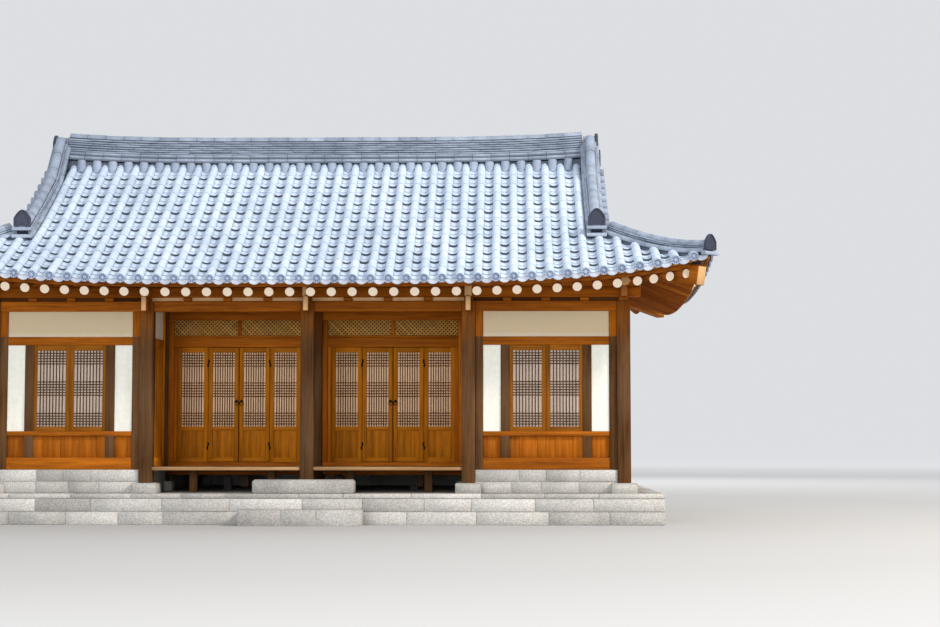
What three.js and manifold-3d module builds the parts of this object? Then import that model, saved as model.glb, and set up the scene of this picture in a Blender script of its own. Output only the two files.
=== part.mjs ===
// Hanok house: a timber house of four bays under a hip-and-gable tiled roof, on a stone platform.
// Millimetres, +Z up, X along the front, the front faces -Y.
// The origin is at the middle of the footprint on the ground.
import * as THREE from 'three';
import { mergeVertices } from 'three/addons/utils/BufferGeometryUtils.js';
import Module from 'manifold-3d';

const wasm = await Module();
wasm.setup();

// Driving dimensions
const seatGap = 0.3; // between pieces that touch
const lap = 10; // how far boxes that are joined reach into each other
const aboveRoof = 9000;
const centreBay = 2425;
const sideBay = 2326;
const postLines = [-centreBay - sideBay, -centreBay, 0, centreBay, centreBay + sideBay];
const endLine = centreBay + sideBay;
const frontLine = -2400;
const backLine = 2400;
const hallLine = -1200;
const postHalf = 100;
const platformTop = 450;
const cornerstoneTop = 600;
const floorTop = 900;
const porchTop = 840;
const plinthTop = 800;

// Heights above the floor
const lintelBottom = 2278;
const lintelTop = 2433;
const blockTop = 2490; // bearing blocks under the upper plate
const plateTop = 2640;
const purlinTop = 2854.5;
const purlinRadius = (purlinTop - plateTop) / 2;
const beamTop = 2790;

// Roof
const overhang = 1200;
const eaveX = endLine + overhang;
const eaveY = backLine + overhang;
const hipOffset = eaveX - eaveY; // |x| - |y| on the hip line
const troughEave = 2630;
const tileSlope = 0.52;
const tileCurve = 2.6e-5;
const bedDrop = 20; // from the trough of the tiles to the clay bed
const edgeDrop = 45;
const edgeDepth = 260;
const rafterRadius = 65;
const rafterEnd = 150; // the rafter's end, in from the tiles' edge
const rafterEndZ = 2490;
const rafterPurlinZ = 2945;
const rafterTopRise = 75;
const middlePurlinIn = 2400;
const ceilingAtRidge = 4619;
const cornerRise = 370;
const riseReach = 6000; // along the eave, from its corner
const fadeReach = 2400; // in from the eave
const vergeX = 4500;
const gableInner = 4100;
const gableOuter = 4220;

const logSides = 8;
const rafterSides = 6;

// Walls
const timberHalf = 60;
const plasterHalf = 40;
const jambPost = 120;
const windowHalf = 546;
const windowJamb = 135;
const sillRail = [405, 475];
const baseRail = [-100, 80];
const middleRail = [1771, 1896];
const leafOuter = 50;
const leafInner = 14;

const finishes = {
  timber: { color: 0x8a5a30, roughness: 0.75 },
  oldTimber: { color: 0x6b5440, roughness: 0.85 },
  plaster: { color: 0xd9d6cf, roughness: 0.9 },
  paper: { color: 0xcdb7aa, roughness: 0.9 },
  stone: { color: 0x9a968e, roughness: 0.9 },
  tile: { color: 0x8f99a8, roughness: 0.7 },
};

// Solids

function solidOf(geometry) {
  const bare = geometry.clone();
  bare.deleteAttribute('normal');
  bare.deleteAttribute('uv');
  const merged = mergeVertices(bare, 1e-3);
  return new wasm.Manifold(new wasm.Mesh({
    numProp: 3,
    vertProperties: new Float32Array(merged.attributes.position.array),
    triVerts: new Uint32Array(merged.index.array),
  }));
}

function geometryOf(solid) {
  const mesh = solid.getMesh();
  const geometry = new THREE.BufferGeometry();
  geometry.setAttribute('position', new THREE.BufferAttribute(new Float32Array(mesh.vertProperties), 3));
  geometry.setIndex(new THREE.BufferAttribute(new Uint32Array(mesh.triVerts), 1));
  geometry.computeVertexNormals();
  return geometry;
}

// A box is [x0, x1, y0, y1, z0, z1]
function boxSolid([x0, x1, y0, y1, z0, z1]) {
  const geometry = new THREE.BoxGeometry(x1 - x0, y1 - y0, z1 - z0);
  geometry.translate((x0 + x1) / 2, (y0 + y1) / 2, (z0 + z1) / 2);
  return solidOf(geometry);
}

function swell([x0, x1, y0, y1, z0, z1], gap = seatGap) {
  return [x0 - gap, x1 + gap, y0 - gap, y1 + gap, z0 - gap, z1 + gap];
}

const join = (solids) => solids.reduce((sum, solid) => sum.add(solid));
const joinBoxes = (boxes) => join(boxes.map(boxSolid));
const cutAll = (solid, cutters) => cutters.reduce((rest, cutter) => rest.subtract(cutter), solid);

// A shell from its corner points and faces, turned outward if it is inside out
function shell(points, faces) {
  let volume = 0;
  const [a, b, c] = [new THREE.Vector3(), new THREE.Vector3(), new THREE.Vector3()];
  for (const [i, j, k] of faces) {
    a.fromArray(points[i]);
    b.fromArray(points[j]);
    c.fromArray(points[k]);
    volume += a.dot(b.cross(c));
  }
  const outward = volume > 0 ? faces : faces.map(([i, j, k]) => [i, k, j]);
  const geometry = new THREE.BufferGeometry();
  geometry.setAttribute('position', new THREE.Float32BufferAttribute(points.flat(), 3));
  geometry.setIndex(outward.flat());
  return solidOf(geometry);
}

// A profile carried through sections, each a closed loop of as many points
function loft(sections) {
  const count = sections[0].length;
  const faces = [];
  for (let s = 0; s < sections.length - 1; s++) {
    for (let p = 0; p < count; p++) {
      const [here, next] = [s * count + p, s * count + ((p + 1) % count)];
      faces.push([here, next, next + count], [here, next + count, here + count]);
    }
  }
  const last = (sections.length - 1) * count;
  for (let p = 1; p < count - 1; p++) {
    faces.push([0, p + 1, p], [last, last + p, last + p + 1]);
  }
  return shell(sections.flat(), faces);
}

// A slab on a plan grid with its own top and bottom height at each grid point
function slab(planRows, top, bottom) {
  const [rows, columns] = [planRows.length, planRows[0].length];
  const count = rows * columns;
  const points = [];
  for (const height of [top, bottom]) {
    for (const row of planRows) {
      for (const [x, y] of row) points.push([x, y, height(x, y)]);
    }
  }
  const faces = [];
  const side = (i, j) => faces.push([i, j, j + count], [i, j + count, i + count]);
  for (let r = 0; r < rows; r++) {
    for (let c = 0; c < columns; c++) {
      const i = r * columns + c;
      if (r < rows - 1 && c < columns - 1) {
        const [right, up, over] = [i + 1, i + columns, i + columns + 1];
        faces.push([i, over, right], [i, up, over]);
        faces.push([i + count, right + count, over + count], [i + count, over + count, up + count]);
      }
      if (c < columns - 1 && r === 0) side(i, i + 1);
      if (c < columns - 1 && r === rows - 1) side(i + 1, i);
      if (r < rows - 1 && c === 0) side(i + columns, i);
      if (r < rows - 1 && c === columns - 1) side(i, i + columns);
    }
  }
  return shell(points, faces);
}

// A log whose flats lie at its radius, with one flat uppermost
function log(from, to, radius, sides = logSides) {
  const [start, end] = [new THREE.Vector3(...from), new THREE.Vector3(...to)];
  const way = end.clone().sub(start);
  const corner = radius / Math.cos(Math.PI / sides);
  const geometry = new THREE.CylinderGeometry(corner, corner, way.length(), sides);
  way.normalize();
  const upward = Math.abs(way.z) > 0.99 ? new THREE.Vector3(0, 1, 0) : new THREE.Vector3(0, 0, 1);
  const across = way.clone().cross(upward).normalize();
  const turn = new THREE.Matrix4().makeBasis(across, way, across.clone().cross(way));
  geometry.rotateY(Math.PI / sides);
  geometry.applyMatrix4(turn);
  geometry.translate(...start.add(end).multiplyScalar(0.5).toArray());
  return solidOf(geometry);
}

// An upright prism over a plan outline
function prism(outline, z0, z1) {
  const shape = new THREE.Shape(outline.map(([x, y]) => new THREE.Vector2(x, y)));
  const geometry = new THREE.ExtrudeGeometry(shape, { depth: z1 - z0, bevelEnabled: false });
  geometry.translate(0, 0, z0);
  return solidOf(geometry);
}

// The scene
const house = new THREE.Group();
house.name = 'hanok_house';

function addNode(name, solid, finish) {
  const material = new THREE.MeshStandardMaterial({ ...finishes[finish], metalness: 0 });
  const mesh = new THREE.Mesh(geometryOf(solid), material);
  mesh.name = name;
  house.add(mesh);
}

// Roof surfaces. In from the eave by t, along the eave from its corner by s.
const liftAt = (s) => cornerRise * Math.max(0, 1 - s / riseReach) ** 4;
const fadeAt = (t) => Math.max(0, 1 - t / fadeReach) ** 2;
const troughAt = (t, s) => floorTop + troughEave + tileSlope * t + tileCurve * t * t + liftAt(s) * fadeAt(t);

// A rafter runs straight from its lifted outer end to the middle purlin
function rafterCentreAt(t, s) {
  const slope = (rafterPurlinZ - rafterEndZ) / (overhang - rafterEnd);
  const lift = liftAt(s) * fadeAt(rafterEnd) * (1 - (t - rafterEnd) / (middlePurlinIn - rafterEnd));
  return floorTop + rafterEndZ + slope * (t - rafterEnd) + lift;
}

function ceilingAt(t, s) {
  if (t < edgeDepth) return troughAt(t, s) - edgeDrop;
  if (t <= middlePurlinIn) return rafterCentreAt(t, s) + rafterTopRise;
  const start = rafterCentreAt(middlePurlinIn, s) + rafterTopRise;
  const share = (t - middlePurlinIn) / (eaveY - middlePurlinIn);
  return start + (floorTop + ceilingAtRidge - start) * share;
}

const insetX = (x) => eaveX - Math.abs(x);
const insetY = (y) => eaveY - Math.abs(y);
const longTop = (x, y) => troughAt(insetY(y), insetX(x)) - bedDrop;
const longUnder = (x, y) => ceilingAt(insetY(y), insetX(x));
const endTop = (x, y) => troughAt(insetX(x), insetY(y)) - bedDrop;
const endUnder = (x, y) => ceilingAt(insetX(x), insetY(y));

const edgeIn = 20;
const insets = [edgeIn, edgeDepth - 1, edgeDepth + 1, 700, overhang, 1451, 1900, middlePurlinIn, 3000];
const shares = [0, 0.04, 0.1, 0.18, 0.3, 0.5, 0.7, 0.82, 0.9, 0.96, 1];
const clearTop = 3000; // how far a cutter reaches above a surface
const cutterGrow = 3 * seatGap; // past the hip line, so that two cutters overlap there

function longPlan(side, grow) {
  const rows = [...insets.map((t) => eaveY - t), seatGap / 2];
  if (grow > 0) rows.push(-1); // a cutter reaches past the ridge line
  return rows.map((depth) => {
    const half = Math.max(vergeX, Math.min(depth, eaveY) + hipOffset) - seatGap + grow;
    return shares.map((share) => [half * (2 * share - 1), side * depth]);
  });
}

function endPlan(side, grow) {
  const rows = insets.filter((t) => t < eaveX - gableOuter).map((t) => eaveX - t);
  rows.push(gableOuter + seatGap);
  return rows.map((x) => {
    const half = x - hipOffset - seatGap + grow;
    return shares.map((share) => [side * x, half * (2 * share - 1)]);
  });
}

const longRoof = (side) => slab(longPlan(side, 0), longTop, longUnder);
const endRoof = (side) => slab(endPlan(side, 0), endTop, endUnder);

// What rests under a roof or butts it is cut by these
const overLongRoof = (side) => slab(
  longPlan(side, cutterGrow), (x, y) => longTop(x, y) + clearTop, (x, y) => longUnder(x, y) - seatGap);
const overEndRoof = (side) => slab(
  endPlan(side, cutterGrow), (x, y) => endTop(x, y) + clearTop, (x, y) => endUnder(x, y) - seatGap);

// What stands on a roof is cut by these
const belowLongRoof = (side) => slab(
  longPlan(side, cutterGrow), (x, y) => longTop(x, y) + seatGap, (x, y) => longTop(x, y) - clearTop);
const belowEndRoof = (side) => slab(
  endPlan(side, cutterGrow), (x, y) => endTop(x, y) + seatGap, (x, y) => endTop(x, y) - clearTop);

// Plan wedges between the hip lines, set back by margin
function longWedge(side, depth0, depth1, margin) {
  const half = (depth) => depth + hipOffset - margin * Math.SQRT2;
  const outline = [
    [-half(depth0), side * depth0],
    [half(depth0), side * depth0],
    [half(depth1), side * depth1],
    [-half(depth1), side * depth1],
  ];
  return prism(outline, 0, aboveRoof);
}

function endWedge(side, x0, x1, margin) {
  const half = (x) => x - hipOffset - margin * Math.SQRT2;
  const outline = [
    [side * x0, -half(x0)],
    [side * x0, half(x0)],
    [side * x1, half(x1)],
    [side * x1, -half(x1)],
  ];
  return prism(outline, 0, aboveRoof);
}

// Boxes in a wall's own frame: u along it, n out of it, z above the floor
const frontWall = { along: 'x', at: frontLine, out: -1 };
const hallWall = { along: 'x', at: hallLine, out: -1 };
const backWall = { along: 'x', at: backLine, out: 1 };
const endWall = (side) => ({ along: 'y', at: side * endLine, out: side });

function inWall(plane, [u0, u1, n0, n1, z0, z1]) {
  const across = [plane.at + plane.out * n0, plane.at + plane.out * n1].sort((a, b) => a - b);
  const heights = [floorTop + z0, floorTop + z1];
  return plane.along === 'x' ? [u0, u1, ...across, ...heights] : [...across, u0, u1, ...heights];
}

const postBox = (x, y, z0, z1) => [x - postHalf, x + postHalf, y - postHalf, y + postHalf, z0, z1];
const innerLines = postLines.slice(1, 4);
const postKeepTop = 3300;
const postPlaces = [
  ...postLines.map((x) => [x, frontLine]),
  ...innerLines.map((x) => [x, hallLine]),
  ...postLines.map((x) => [x, backLine]),
  [-endLine, 0],
  [endLine, 0],
];
const postKeepOuts = postPlaces.map(([x, y]) => boxSolid(swell(postBox(x, y, cornerstoneTop, postKeepTop))));

// Masonry
const platformX = 5300;
const platformY = 3000;
const cornerstoneHalf = 190;
const plinthStart = centreBay - 80;
const porchWallHalf = plasterHalf;
const frontStep = { half: 900, deep: 350, high: 225 };
const stepStone = [-750, 750, -2960, -2600, platformTop + seatGap, 660];

function stonePlatform() {
  const boxes = [[-platformX, platformX, -platformY, platformY, 0, platformTop]];
  boxes.push([
    -frontStep.half, frontStep.half, -platformY - frontStep.deep, -platformY + lap, 0, frontStep.high]);
  for (const [x, y] of postPlaces) {
    const half = cornerstoneHalf;
    boxes.push([x - half, x + half, y - half, y + half, platformTop - lap, cornerstoneTop]);
  }
  const outer = backLine + timberHalf;
  const inner = backLine - timberHalf - seatGap;
  boxes.push([-plinthStart, plinthStart, inner, outer, platformTop - lap, plinthTop]);
  for (const side of [-1, 1]) {
    const span = (a, b) => [side * a, side * b].sort((p, q) => p - q);
    const outerX = endLine + timberHalf;
    const innerX = endLine - timberHalf - seatGap;
    const porchWallFace = centreBay + porchWallHalf + seatGap;
    boxes.push([...span(plinthStart, outerX), -outer, outer, platformTop - lap, plinthTop]);
    boxes.push([...span(porchWallFace, innerX), -inner, inner, plinthTop - lap, floorTop]);
    boxes.push([...span(plinthStart, innerX), hallLine + postHalf, inner, plinthTop - lap, floorTop]);
  }
  return cutAll(joinBoxes(boxes), postKeepOuts);
}

addNode('stone_platform', stonePlatform(), 'stone');
addNode('step_stone', boxSolid(stepStone), 'stone');

// Front posts
postLines.forEach((x, i) => {
  const box = postBox(x, frontLine, cornerstoneTop + seatGap, floorTop + lintelTop);
  addNode(`front_post_${i + 1}`, boxSolid(box), 'oldTimber');
});

// Cross beams with narrowed heads and brackets under them
const beamHalf = 120;
const beamReach = 2250;
const headHalf = 55;
const headReach = 2700;
const bracketHalf = 40;
const bracketBottom = 2270;
const bracketReach = 2750;
const bracketInner = 2000;

const purlinZ = floorTop + (plateTop + purlinTop) / 2;
const purlinKeepOuts = [-1, 1].map((side) => {
  const y = side * backLine;
  return log([-endLine, y, purlinZ], [endLine, y, purlinZ], purlinRadius + seatGap);
});

const beamZ = [floorTop + blockTop, floorTop + beamTop];
const beamBody = (x) => [x - beamHalf, x + beamHalf, -beamReach, beamReach, ...beamZ];
const beamHeads = (x) => [x - headHalf, x + headHalf, -headReach, headReach, ...beamZ];
const brackets = (x) => [-1, 1].flatMap((side) => {
  const outer = backLine + postHalf + seatGap;
  const inner = backLine - postHalf - seatGap;
  return [[outer, bracketReach], [bracketInner, inner]].map(([near, far]) => [
    x - bracketHalf, x + bracketHalf,
    ...[side * near, side * far].sort((a, b) => a - b),
    floorTop + bracketBottom, floorTop + blockTop + 1]);
});

innerLines.forEach((x, i) => {
  const beam = joinBoxes([beamBody(x), beamHeads(x), ...brackets(x)]);
  addNode(`cross_beam_${i + 1}`, cutAll(beam, purlinKeepOuts), 'timber');
});

// Lintel, bearing blocks, plate and round purlin along one side
const lintelHalf = 70;
const plateHalf = 50;
const blockHalf = 65;
const cornerReach = 260;
const runWedge = 400; // how far the hip lines' wedge reaches to each side of a long run
const endRunWedge = 500;

function blockPlaces(lines) {
  const places = [...lines];
  for (let i = 0; i < lines.length - 1; i++) {
    for (const share of [0.25, 0.5, 0.75]) places.push(lines[i] + share * (lines[i + 1] - lines[i]));
  }
  return places;
}

function upperRun(plane, lines, wedge) {
  const reach = lines[lines.length - 1] + cornerReach;
  const boxes = blockPlaces(lines).map((u) => {
    const onPost = lines.includes(u);
    const foot = onPost ? lintelTop + seatGap : lintelTop - 1;
    return inWall(plane, [u - blockHalf, u + blockHalf, -blockHalf, blockHalf, foot, blockTop + 1]);
  });
  boxes.push(inWall(plane, [-reach, reach, -plateHalf, plateHalf, blockTop, plateTop + 1]));
  const ends = [-reach, reach].map((u) => (
    plane.along === 'x' ? [u, plane.at, purlinZ] : [plane.at, u, purlinZ]));
  const run = joinBoxes(boxes).add(log(ends[0], ends[1], purlinRadius));
  const beamPassages = plane.along === 'x' ? innerLines.map((x) => {
    const box = swell(beamHeads(x));
    box[5] = floorTop + plateTop + 1.5;
    return boxSolid(box);
  }) : [];
  return cutAll(run, beamPassages).intersect(wedge);
}

function lintels(plane, lines) {
  const boxes = [];
  for (let i = 0; i < lines.length - 1; i++) {
    const [from, to] = [lines[i] + postHalf + seatGap, lines[i + 1] - postHalf - seatGap];
    boxes.push(inWall(plane, [from, to, -lintelHalf, lintelHalf, lintelBottom, lintelTop]));
  }
  return joinBoxes(boxes);
}

const longRunWedge = (side) => longWedge(side, backLine + runWedge, backLine - runWedge, seatGap / 2);
const frontRun = upperRun(frontWall, postLines, longRunWedge(-1));
addNode('front_lintel', lintels(frontWall, postLines).add(frontRun), 'timber');

// Timber and plaster of one bay: a frame cut open for the plaster, the window and the boarded panel
const middleStud = 50;
const panelHalf = 15;
const tongueHalf = 10; // plaster that runs on through a rail or past a post
const tongueIn = 30;
const tongueReach = 20;
const through = [-timberHalf - 1, timberHalf + 1];

function wallBay(plane, centre, half, windowed) {
  const at = (box) => inWall(plane, [centre + box[0], centre + box[1], ...box.slice(2)]);
  const both = (u0, u1, ...rest) => [at([u0, u1, ...rest]), at([-u1, -u0, ...rest])];
  const clear = half - jambPost;
  const opening = windowed ? windowHalf + windowJamb : middleStud;
  const lowerZ = [sillRail[1], middleRail[0]];
  const boardedZ = [baseRail[1], sillRail[0]];
  const recesses = [[panelHalf, timberHalf + 1], [-timberHalf - 1, -panelHalf]].flatMap((depth) => (
    windowed
      ? [...both(opening, clear, ...depth, ...boardedZ), at([-windowHalf, windowHalf, ...depth, ...boardedZ])]
      : [at([-clear, clear, ...depth, ...boardedZ])]));
  const cuts = [
    at([-clear, clear, ...through, middleRail[1], lintelBottom + 1]),
    ...both(opening, clear, ...through, ...lowerZ),
    ...recesses,
  ];
  if (windowed) cuts.push(at([-windowHalf, windowHalf, ...through, ...lowerZ]));
  const body = at([-half, half, -timberHalf, timberHalf, baseRail[0] + seatGap, lintelBottom - seatGap]);
  const face = [-plasterHalf, plasterHalf];
  const panels = [
    ...both(opening + seatGap, clear - seatGap, ...face, lowerZ[0] + seatGap, lowerZ[1] - seatGap),
    at([-clear + seatGap, clear - seatGap, ...face, middleRail[1] + seatGap, lintelBottom - seatGap]),
  ];
  const tongueZ = [middleRail[0] - tongueReach, middleRail[1] + tongueReach];
  const tongues = both(opening + tongueIn, clear - tongueIn, -tongueHalf, tongueHalf, ...tongueZ);
  return { timber: cutAll(boxSolid(body), cuts.map(boxSolid)), panels, tongues };
}

// A band that carries the plaster past a post
const pastPostZ = [2050, 2110];

function pastPost(plane, u) {
  const reach = postHalf + jambPost + tongueIn;
  return inWall(plane, [u - reach, u + reach, -tongueHalf, tongueHalf, ...pastPostZ]);
}

function addWall(frameName, wallName, bays, posts, bands, upper) {
  const tongues = [...bays.flatMap((bay) => bay.tongues), ...bands];
  const timber = join([...bays.map((bay) => bay.timber), ...posts.map(boxSolid)]);
  const frame = cutAll(timber, tongues.map((box) => boxSolid(swell(box))));
  addNode(frameName, upper ? frame.add(upper) : frame, 'oldTimber');
  addNode(wallName, joinBoxes([...bays.flatMap((bay) => bay.panels), ...tongues]), 'plaster');
}

const sideHalf = sideBay / 2 - postHalf;
const centreHalf = centreBay / 2 - postHalf;
const sideCentre = centreBay + sideBay / 2;

for (const [label, side] of [['left', -1], ['right', 1]]) {
  const bay = wallBay(frontWall, side * sideCentre, sideHalf, true);
  addWall(`${label}_front_frame`, `${label}_front_wall`, [bay], [], [], null);
}

for (const [label, side] of [['left', -1], ['right', 1]]) {
  const plane = endWall(side);
  const half = backLine / 2 - postHalf;
  const bays = [wallBay(plane, frontLine / 2, half, true), wallBay(plane, backLine / 2, half, false)];
  const middlePost = postBox(side * endLine, 0, cornerstoneTop + seatGap, floorTop + lintelTop);
  const wedge = endWedge(side, endLine - endRunWedge, endLine + endRunWedge, seatGap / 2);
  const run = upperRun(plane, [frontLine, 0, backLine], wedge);
  const ends = lintels(plane, [frontLine, backLine]);
  addWall(`${label}_end_frame`, `${label}_end_wall`, bays, [middlePost], [pastPost(plane, 0)], ends.add(run));
}

const backBays = [
  wallBay(backWall, -sideCentre, sideHalf, true),
  wallBay(backWall, -centreBay / 2, centreHalf, false),
  wallBay(backWall, centreBay / 2, centreHalf, false),
  wallBay(backWall, sideCentre, sideHalf, true),
];
const backPosts = postLines.map((x) => postBox(x, backLine, cornerstoneTop + seatGap, floorTop + lintelTop));
const backLintel = inWall(backWall, [-endLine, endLine, -lintelHalf, lintelHalf, lintelBottom, lintelTop]);
addWall(
  'back_wall_frame', 'back_wall', backBays, backPosts,
  innerLines.map((x) => pastPost(backWall, x)),
  boxSolid(backLintel).add(upperRun(backWall, postLines, longRunWedge(1))));

// Porch side walls
for (const [label, side] of [['left', -1], ['right', 1]]) {
  const x = side * centreBay;
  const wall = boxSolid([
    x - porchWallHalf, x + porchWallHalf,
    frontLine + postHalf + seatGap, hallLine - postHalf - seatGap,
    plinthTop + seatGap, floorTop + blockTop - seatGap]);
  addNode(`${label}_porch_wall`, cutAll(wall, brackets(x).map((box) => boxSolid(swell(box)))), 'plaster');
}

// Hall front, set back behind the porch
const hallJamb = 57;
const hallJambHalf = 45;
const sillDeep = 200;
const railHalf = 40; // the rail and the mullions of the transom
const mullionHalf = 30;
const transomSheetHalf = 4;
const boardHalf = 20; // boarding from the head rail up to the middle purlin
const hallJambPost = 85;
const leafPitch = 485;
const doorwayHalf = centreHalf - hallJamb - hallJambPost;
const headBeam = [1800, 1950];
const transom = [1985, 2227];
const middlePurlinRadius = 100;
const middlePurlinZ = 3274.5;
const boardingTop = middlePurlinZ - middlePurlinRadius - 0.5;
const shortPostHalf = 70;
const hallBayCentres = [-centreBay / 2, centreBay / 2];

const shortPosts = (x) => [-1, 1].map((side) => {
  const y = side * -hallLine;
  const half = shortPostHalf;
  return [x - half, x + half, y - half, y + half, floorTop + beamTop + seatGap, floorTop + middlePurlinZ];
});

function hallFront() {
  const postZ = [cornerstoneTop + seatGap, floorTop + blockTop - seatGap];
  const boxes = innerLines.map((x) => postBox(x, hallLine, ...postZ));
  for (const centre of hallBayCentres) {
    const at = (box) => inWall(hallWall, [centre + box[0], centre + box[1], ...box.slice(2)]);
    const full = [-centreHalf, centreHalf];
    boxes.push(at([...full, -timberHalf, timberHalf, -sillDeep, 0]));
    boxes.push(at([...full, -timberHalf, timberHalf, ...headBeam]));
    boxes.push(at([...full, -railHalf, railHalf, headBeam[1] - 1, transom[0]]));
    boxes.push(at([-mullionHalf, mullionHalf, -railHalf, railHalf, transom[0] - 1, transom[1] + 1]));
    boxes.push(at([...full, -transomSheetHalf, transomSheetHalf, transom[0] - 1, transom[1] + 1]));
    boxes.push(at([...full, -timberHalf, timberHalf, transom[1], blockTop - lap]));
    boxes.push(at([...full, -boardHalf, boardHalf, blockTop - lap - 1, boardingTop]));
    for (const side of [-1, 1]) {
      const span = (a, b) => [side * a, side * b].sort((p, q) => p - q);
      const jamb = span(doorwayHalf, doorwayHalf + hallJamb + 1);
      boxes.push(at([...jamb, -hallJambHalf, hallJambHalf, -1, headBeam[0] + 1]));
      const post = span(doorwayHalf + hallJamb, centreHalf);
      boxes.push(at([...post, -timberHalf, timberHalf, -1, transom[1] + 1]));
    }
  }
  const beams = innerLines.flatMap((x) => [beamBody(x), ...shortPosts(x)]);
  return cutAll(joinBoxes(boxes), beams.map((box) => boxSolid(swell(box))));
}

addNode('hall_front_frame', hallFront(), 'oldTimber');

// Door leaves: four to a bay, the middle two hinged on the outer two
const leafHalf = 18;
const leafGap = 3;
const leafWidth = 480;
const stile = 68;
const hingeOut = 28;
const hingeRadius = 7;
const barrel = 60;
const plateLong = 55;
const plateThick = 6;
const plateShort = 3; // at each end of the barrel
const hingeHeights = [250, 1550];
const doorPanel = { z: [70, 490], half: 6 };
const doorSheet = { z: [553, 1717], half: 4 };

// Both faces are sunk over the panel and over the papered lattice
function doorLeaf(from, to, bottom, top) {
  const recesses = [doorPanel, doorSheet].flatMap(({ z, half }) => {
    const depths = [[half, leafHalf + 1], [-leafHalf - 1, -half]];
    return depths.map((depth) => boxSolid(inWall(hallWall, [from + stile, to - stile, ...depth, ...z])));
  });
  return cutAll(boxSolid(inWall(hallWall, [from, to, -leafHalf, leafHalf, bottom, top])), recesses);
}

// A barrel on the axis and its plate, reaching to one side
function hingeHalf(axisU, side, z0) {
  const y = hallLine - hingeOut;
  const from = [axisU, y, floorTop + z0];
  const to = [axisU, y, floorTop + z0 + barrel - seatGap];
  const span = [axisU + side, axisU + side * plateLong].sort((a, b) => a - b);
  const plate = inWall(hallWall, [
    ...span, leafHalf - 1, leafHalf + plateThick, z0 + plateShort, z0 + barrel - plateShort]);
  return log(from, to, hingeRadius, 6).add(boxSolid(plate));
}

function addDoors(label, centre) {
  for (const [number, outer, side] of [[1, true, 1], [2, false, 1], [3, false, -1], [4, true, -1]]) {
    const axisU = centre - side * leafPitch; // the hinge line on this side of the bay
    const span = outer
      ? [centre - side * (doorwayHalf - seatGap), axisU - side * leafGap]
      : [axisU + side * leafGap, axisU + side * leafWidth];
    const [from, to] = span.sort((a, b) => a - b);
    const [bottom, top] = outer ? [seatGap, headBeam[0] - seatGap] : [6, headBeam[0] - 6];
    const hinges = hingeHeights.map((z) => hingeHalf(axisU, outer ? -side : side, outer ? z - barrel : z));
    addNode(`${label}_door_${number}`, join([doorLeaf(from, to, bottom, top), ...hinges]), 'timber');
  }
}

addDoors('left_bay', hallBayCentres[0]);
addDoors('right_bay', hallBayCentres[1]);

// Two-leaf windows, sunk on both faces over the papered lattice
const windowStile = 50;
const windowMeeting = 63;
const windowLattice = [543, 1690];
const windowSheet = [28, 36];

function windowPair(plane, centre) {
  const half = windowHalf - seatGap;
  const [bottom, top] = [sillRail[1] + seatGap, middleRail[0] - seatGap];
  const at = (u0, u1, depth, z) => boxSolid(inWall(plane, [centre + u0, centre + u1, ...depth, ...z]));
  const recesses = [[windowSheet[1], leafOuter + 1], [leafInner - 1, windowSheet[0]]].flatMap((depth) => [
    at(-half + windowStile, -windowMeeting, depth, windowLattice),
    at(windowMeeting, half - windowStile, depth, windowLattice)]);
  return cutAll(at(-half, half, [leafInner, leafOuter], [bottom, top]), recesses);
}

addNode('left_front_window', windowPair(frontWall, -sideCentre), 'paper');
addNode('right_front_window', windowPair(frontWall, sideCentre), 'paper');
addNode('left_end_window', windowPair(endWall(-1), frontLine / 2), 'paper');
addNode('right_end_window', windowPair(endWall(1), frontLine / 2), 'paper');
addNode('back_window_left', windowPair(backWall, -sideCentre), 'paper');
addNode('back_window_right', windowPair(backWall, sideCentre), 'paper');

// Floors on short posts
const floorHalfX = plinthStart - seatGap;
const stubHalf = 60;
const hallFloorLow = 840;
const porchFloorLow = 790;
const porchFloorFront = -2480;

function floorOnPosts(box, stubs) {
  const feet = stubs.map(([x, y]) => [
    x - stubHalf, x + stubHalf, y - stubHalf, y + stubHalf, platformTop + seatGap, box[4] + 1]);
  return cutAll(joinBoxes([box, ...feet]), postKeepOuts);
}

const hallBox = [
  -floorHalfX, floorHalfX, hallLine + timberHalf + seatGap, backLine - timberHalf - 2 * seatGap,
  hallFloorLow, floorTop];
const hallStubs = [-1500, 0, 1500].flatMap((x) => [[x, -400], [x, 1500]]);
addNode('hall_floor', floorOnPosts(hallBox, hallStubs), 'timber');
const porchBox = [
  -floorHalfX, floorHalfX, porchFloorFront, hallLine - timberHalf - seatGap, porchFloorLow, porchTop];
const porchStubs = [-1800, -600, 600, 1800].map((x) => [x, -1850]);
addNode('porch_floor', floorOnPosts(porchBox, porchStubs), 'timber');

// Upper frame: short posts, upper beams, king posts, middle purlins and ridge purlin
const ridgePurlinRadius = 110;
const ridgePurlinZ = floorTop + ceilingAtRidge - 153;
const upperBeamHalf = 80;
const upperBeamZ = [-150, 40]; // from the middle purlins' centres
const kingPostHalf = 70;

function upperRoofFrame() {
  const reach = gableInner - seatGap;
  const z = floorTop + middlePurlinZ;
  const parts = [-hallLine, hallLine].map((y) => log([-reach, y, z], [reach, y, z], middlePurlinRadius));
  parts.push(log([-reach, 0, ridgePurlinZ], [reach, 0, ridgePurlinZ], ridgePurlinRadius));
  for (const x of innerLines) {
    parts.push(...shortPosts(x).map(boxSolid));
    parts.push(boxSolid([
      x - upperBeamHalf, x + upperBeamHalf, hallLine, -hallLine, z + upperBeamZ[0], z + upperBeamZ[1]]));
    parts.push(boxSolid([x - kingPostHalf, x + kingPostHalf, -kingPostHalf, kingPostHalf, z, ridgePurlinZ]));
  }
  return join(parts);
}

addNode('upper_roof_frame', upperRoofFrame(), 'timber');

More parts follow.
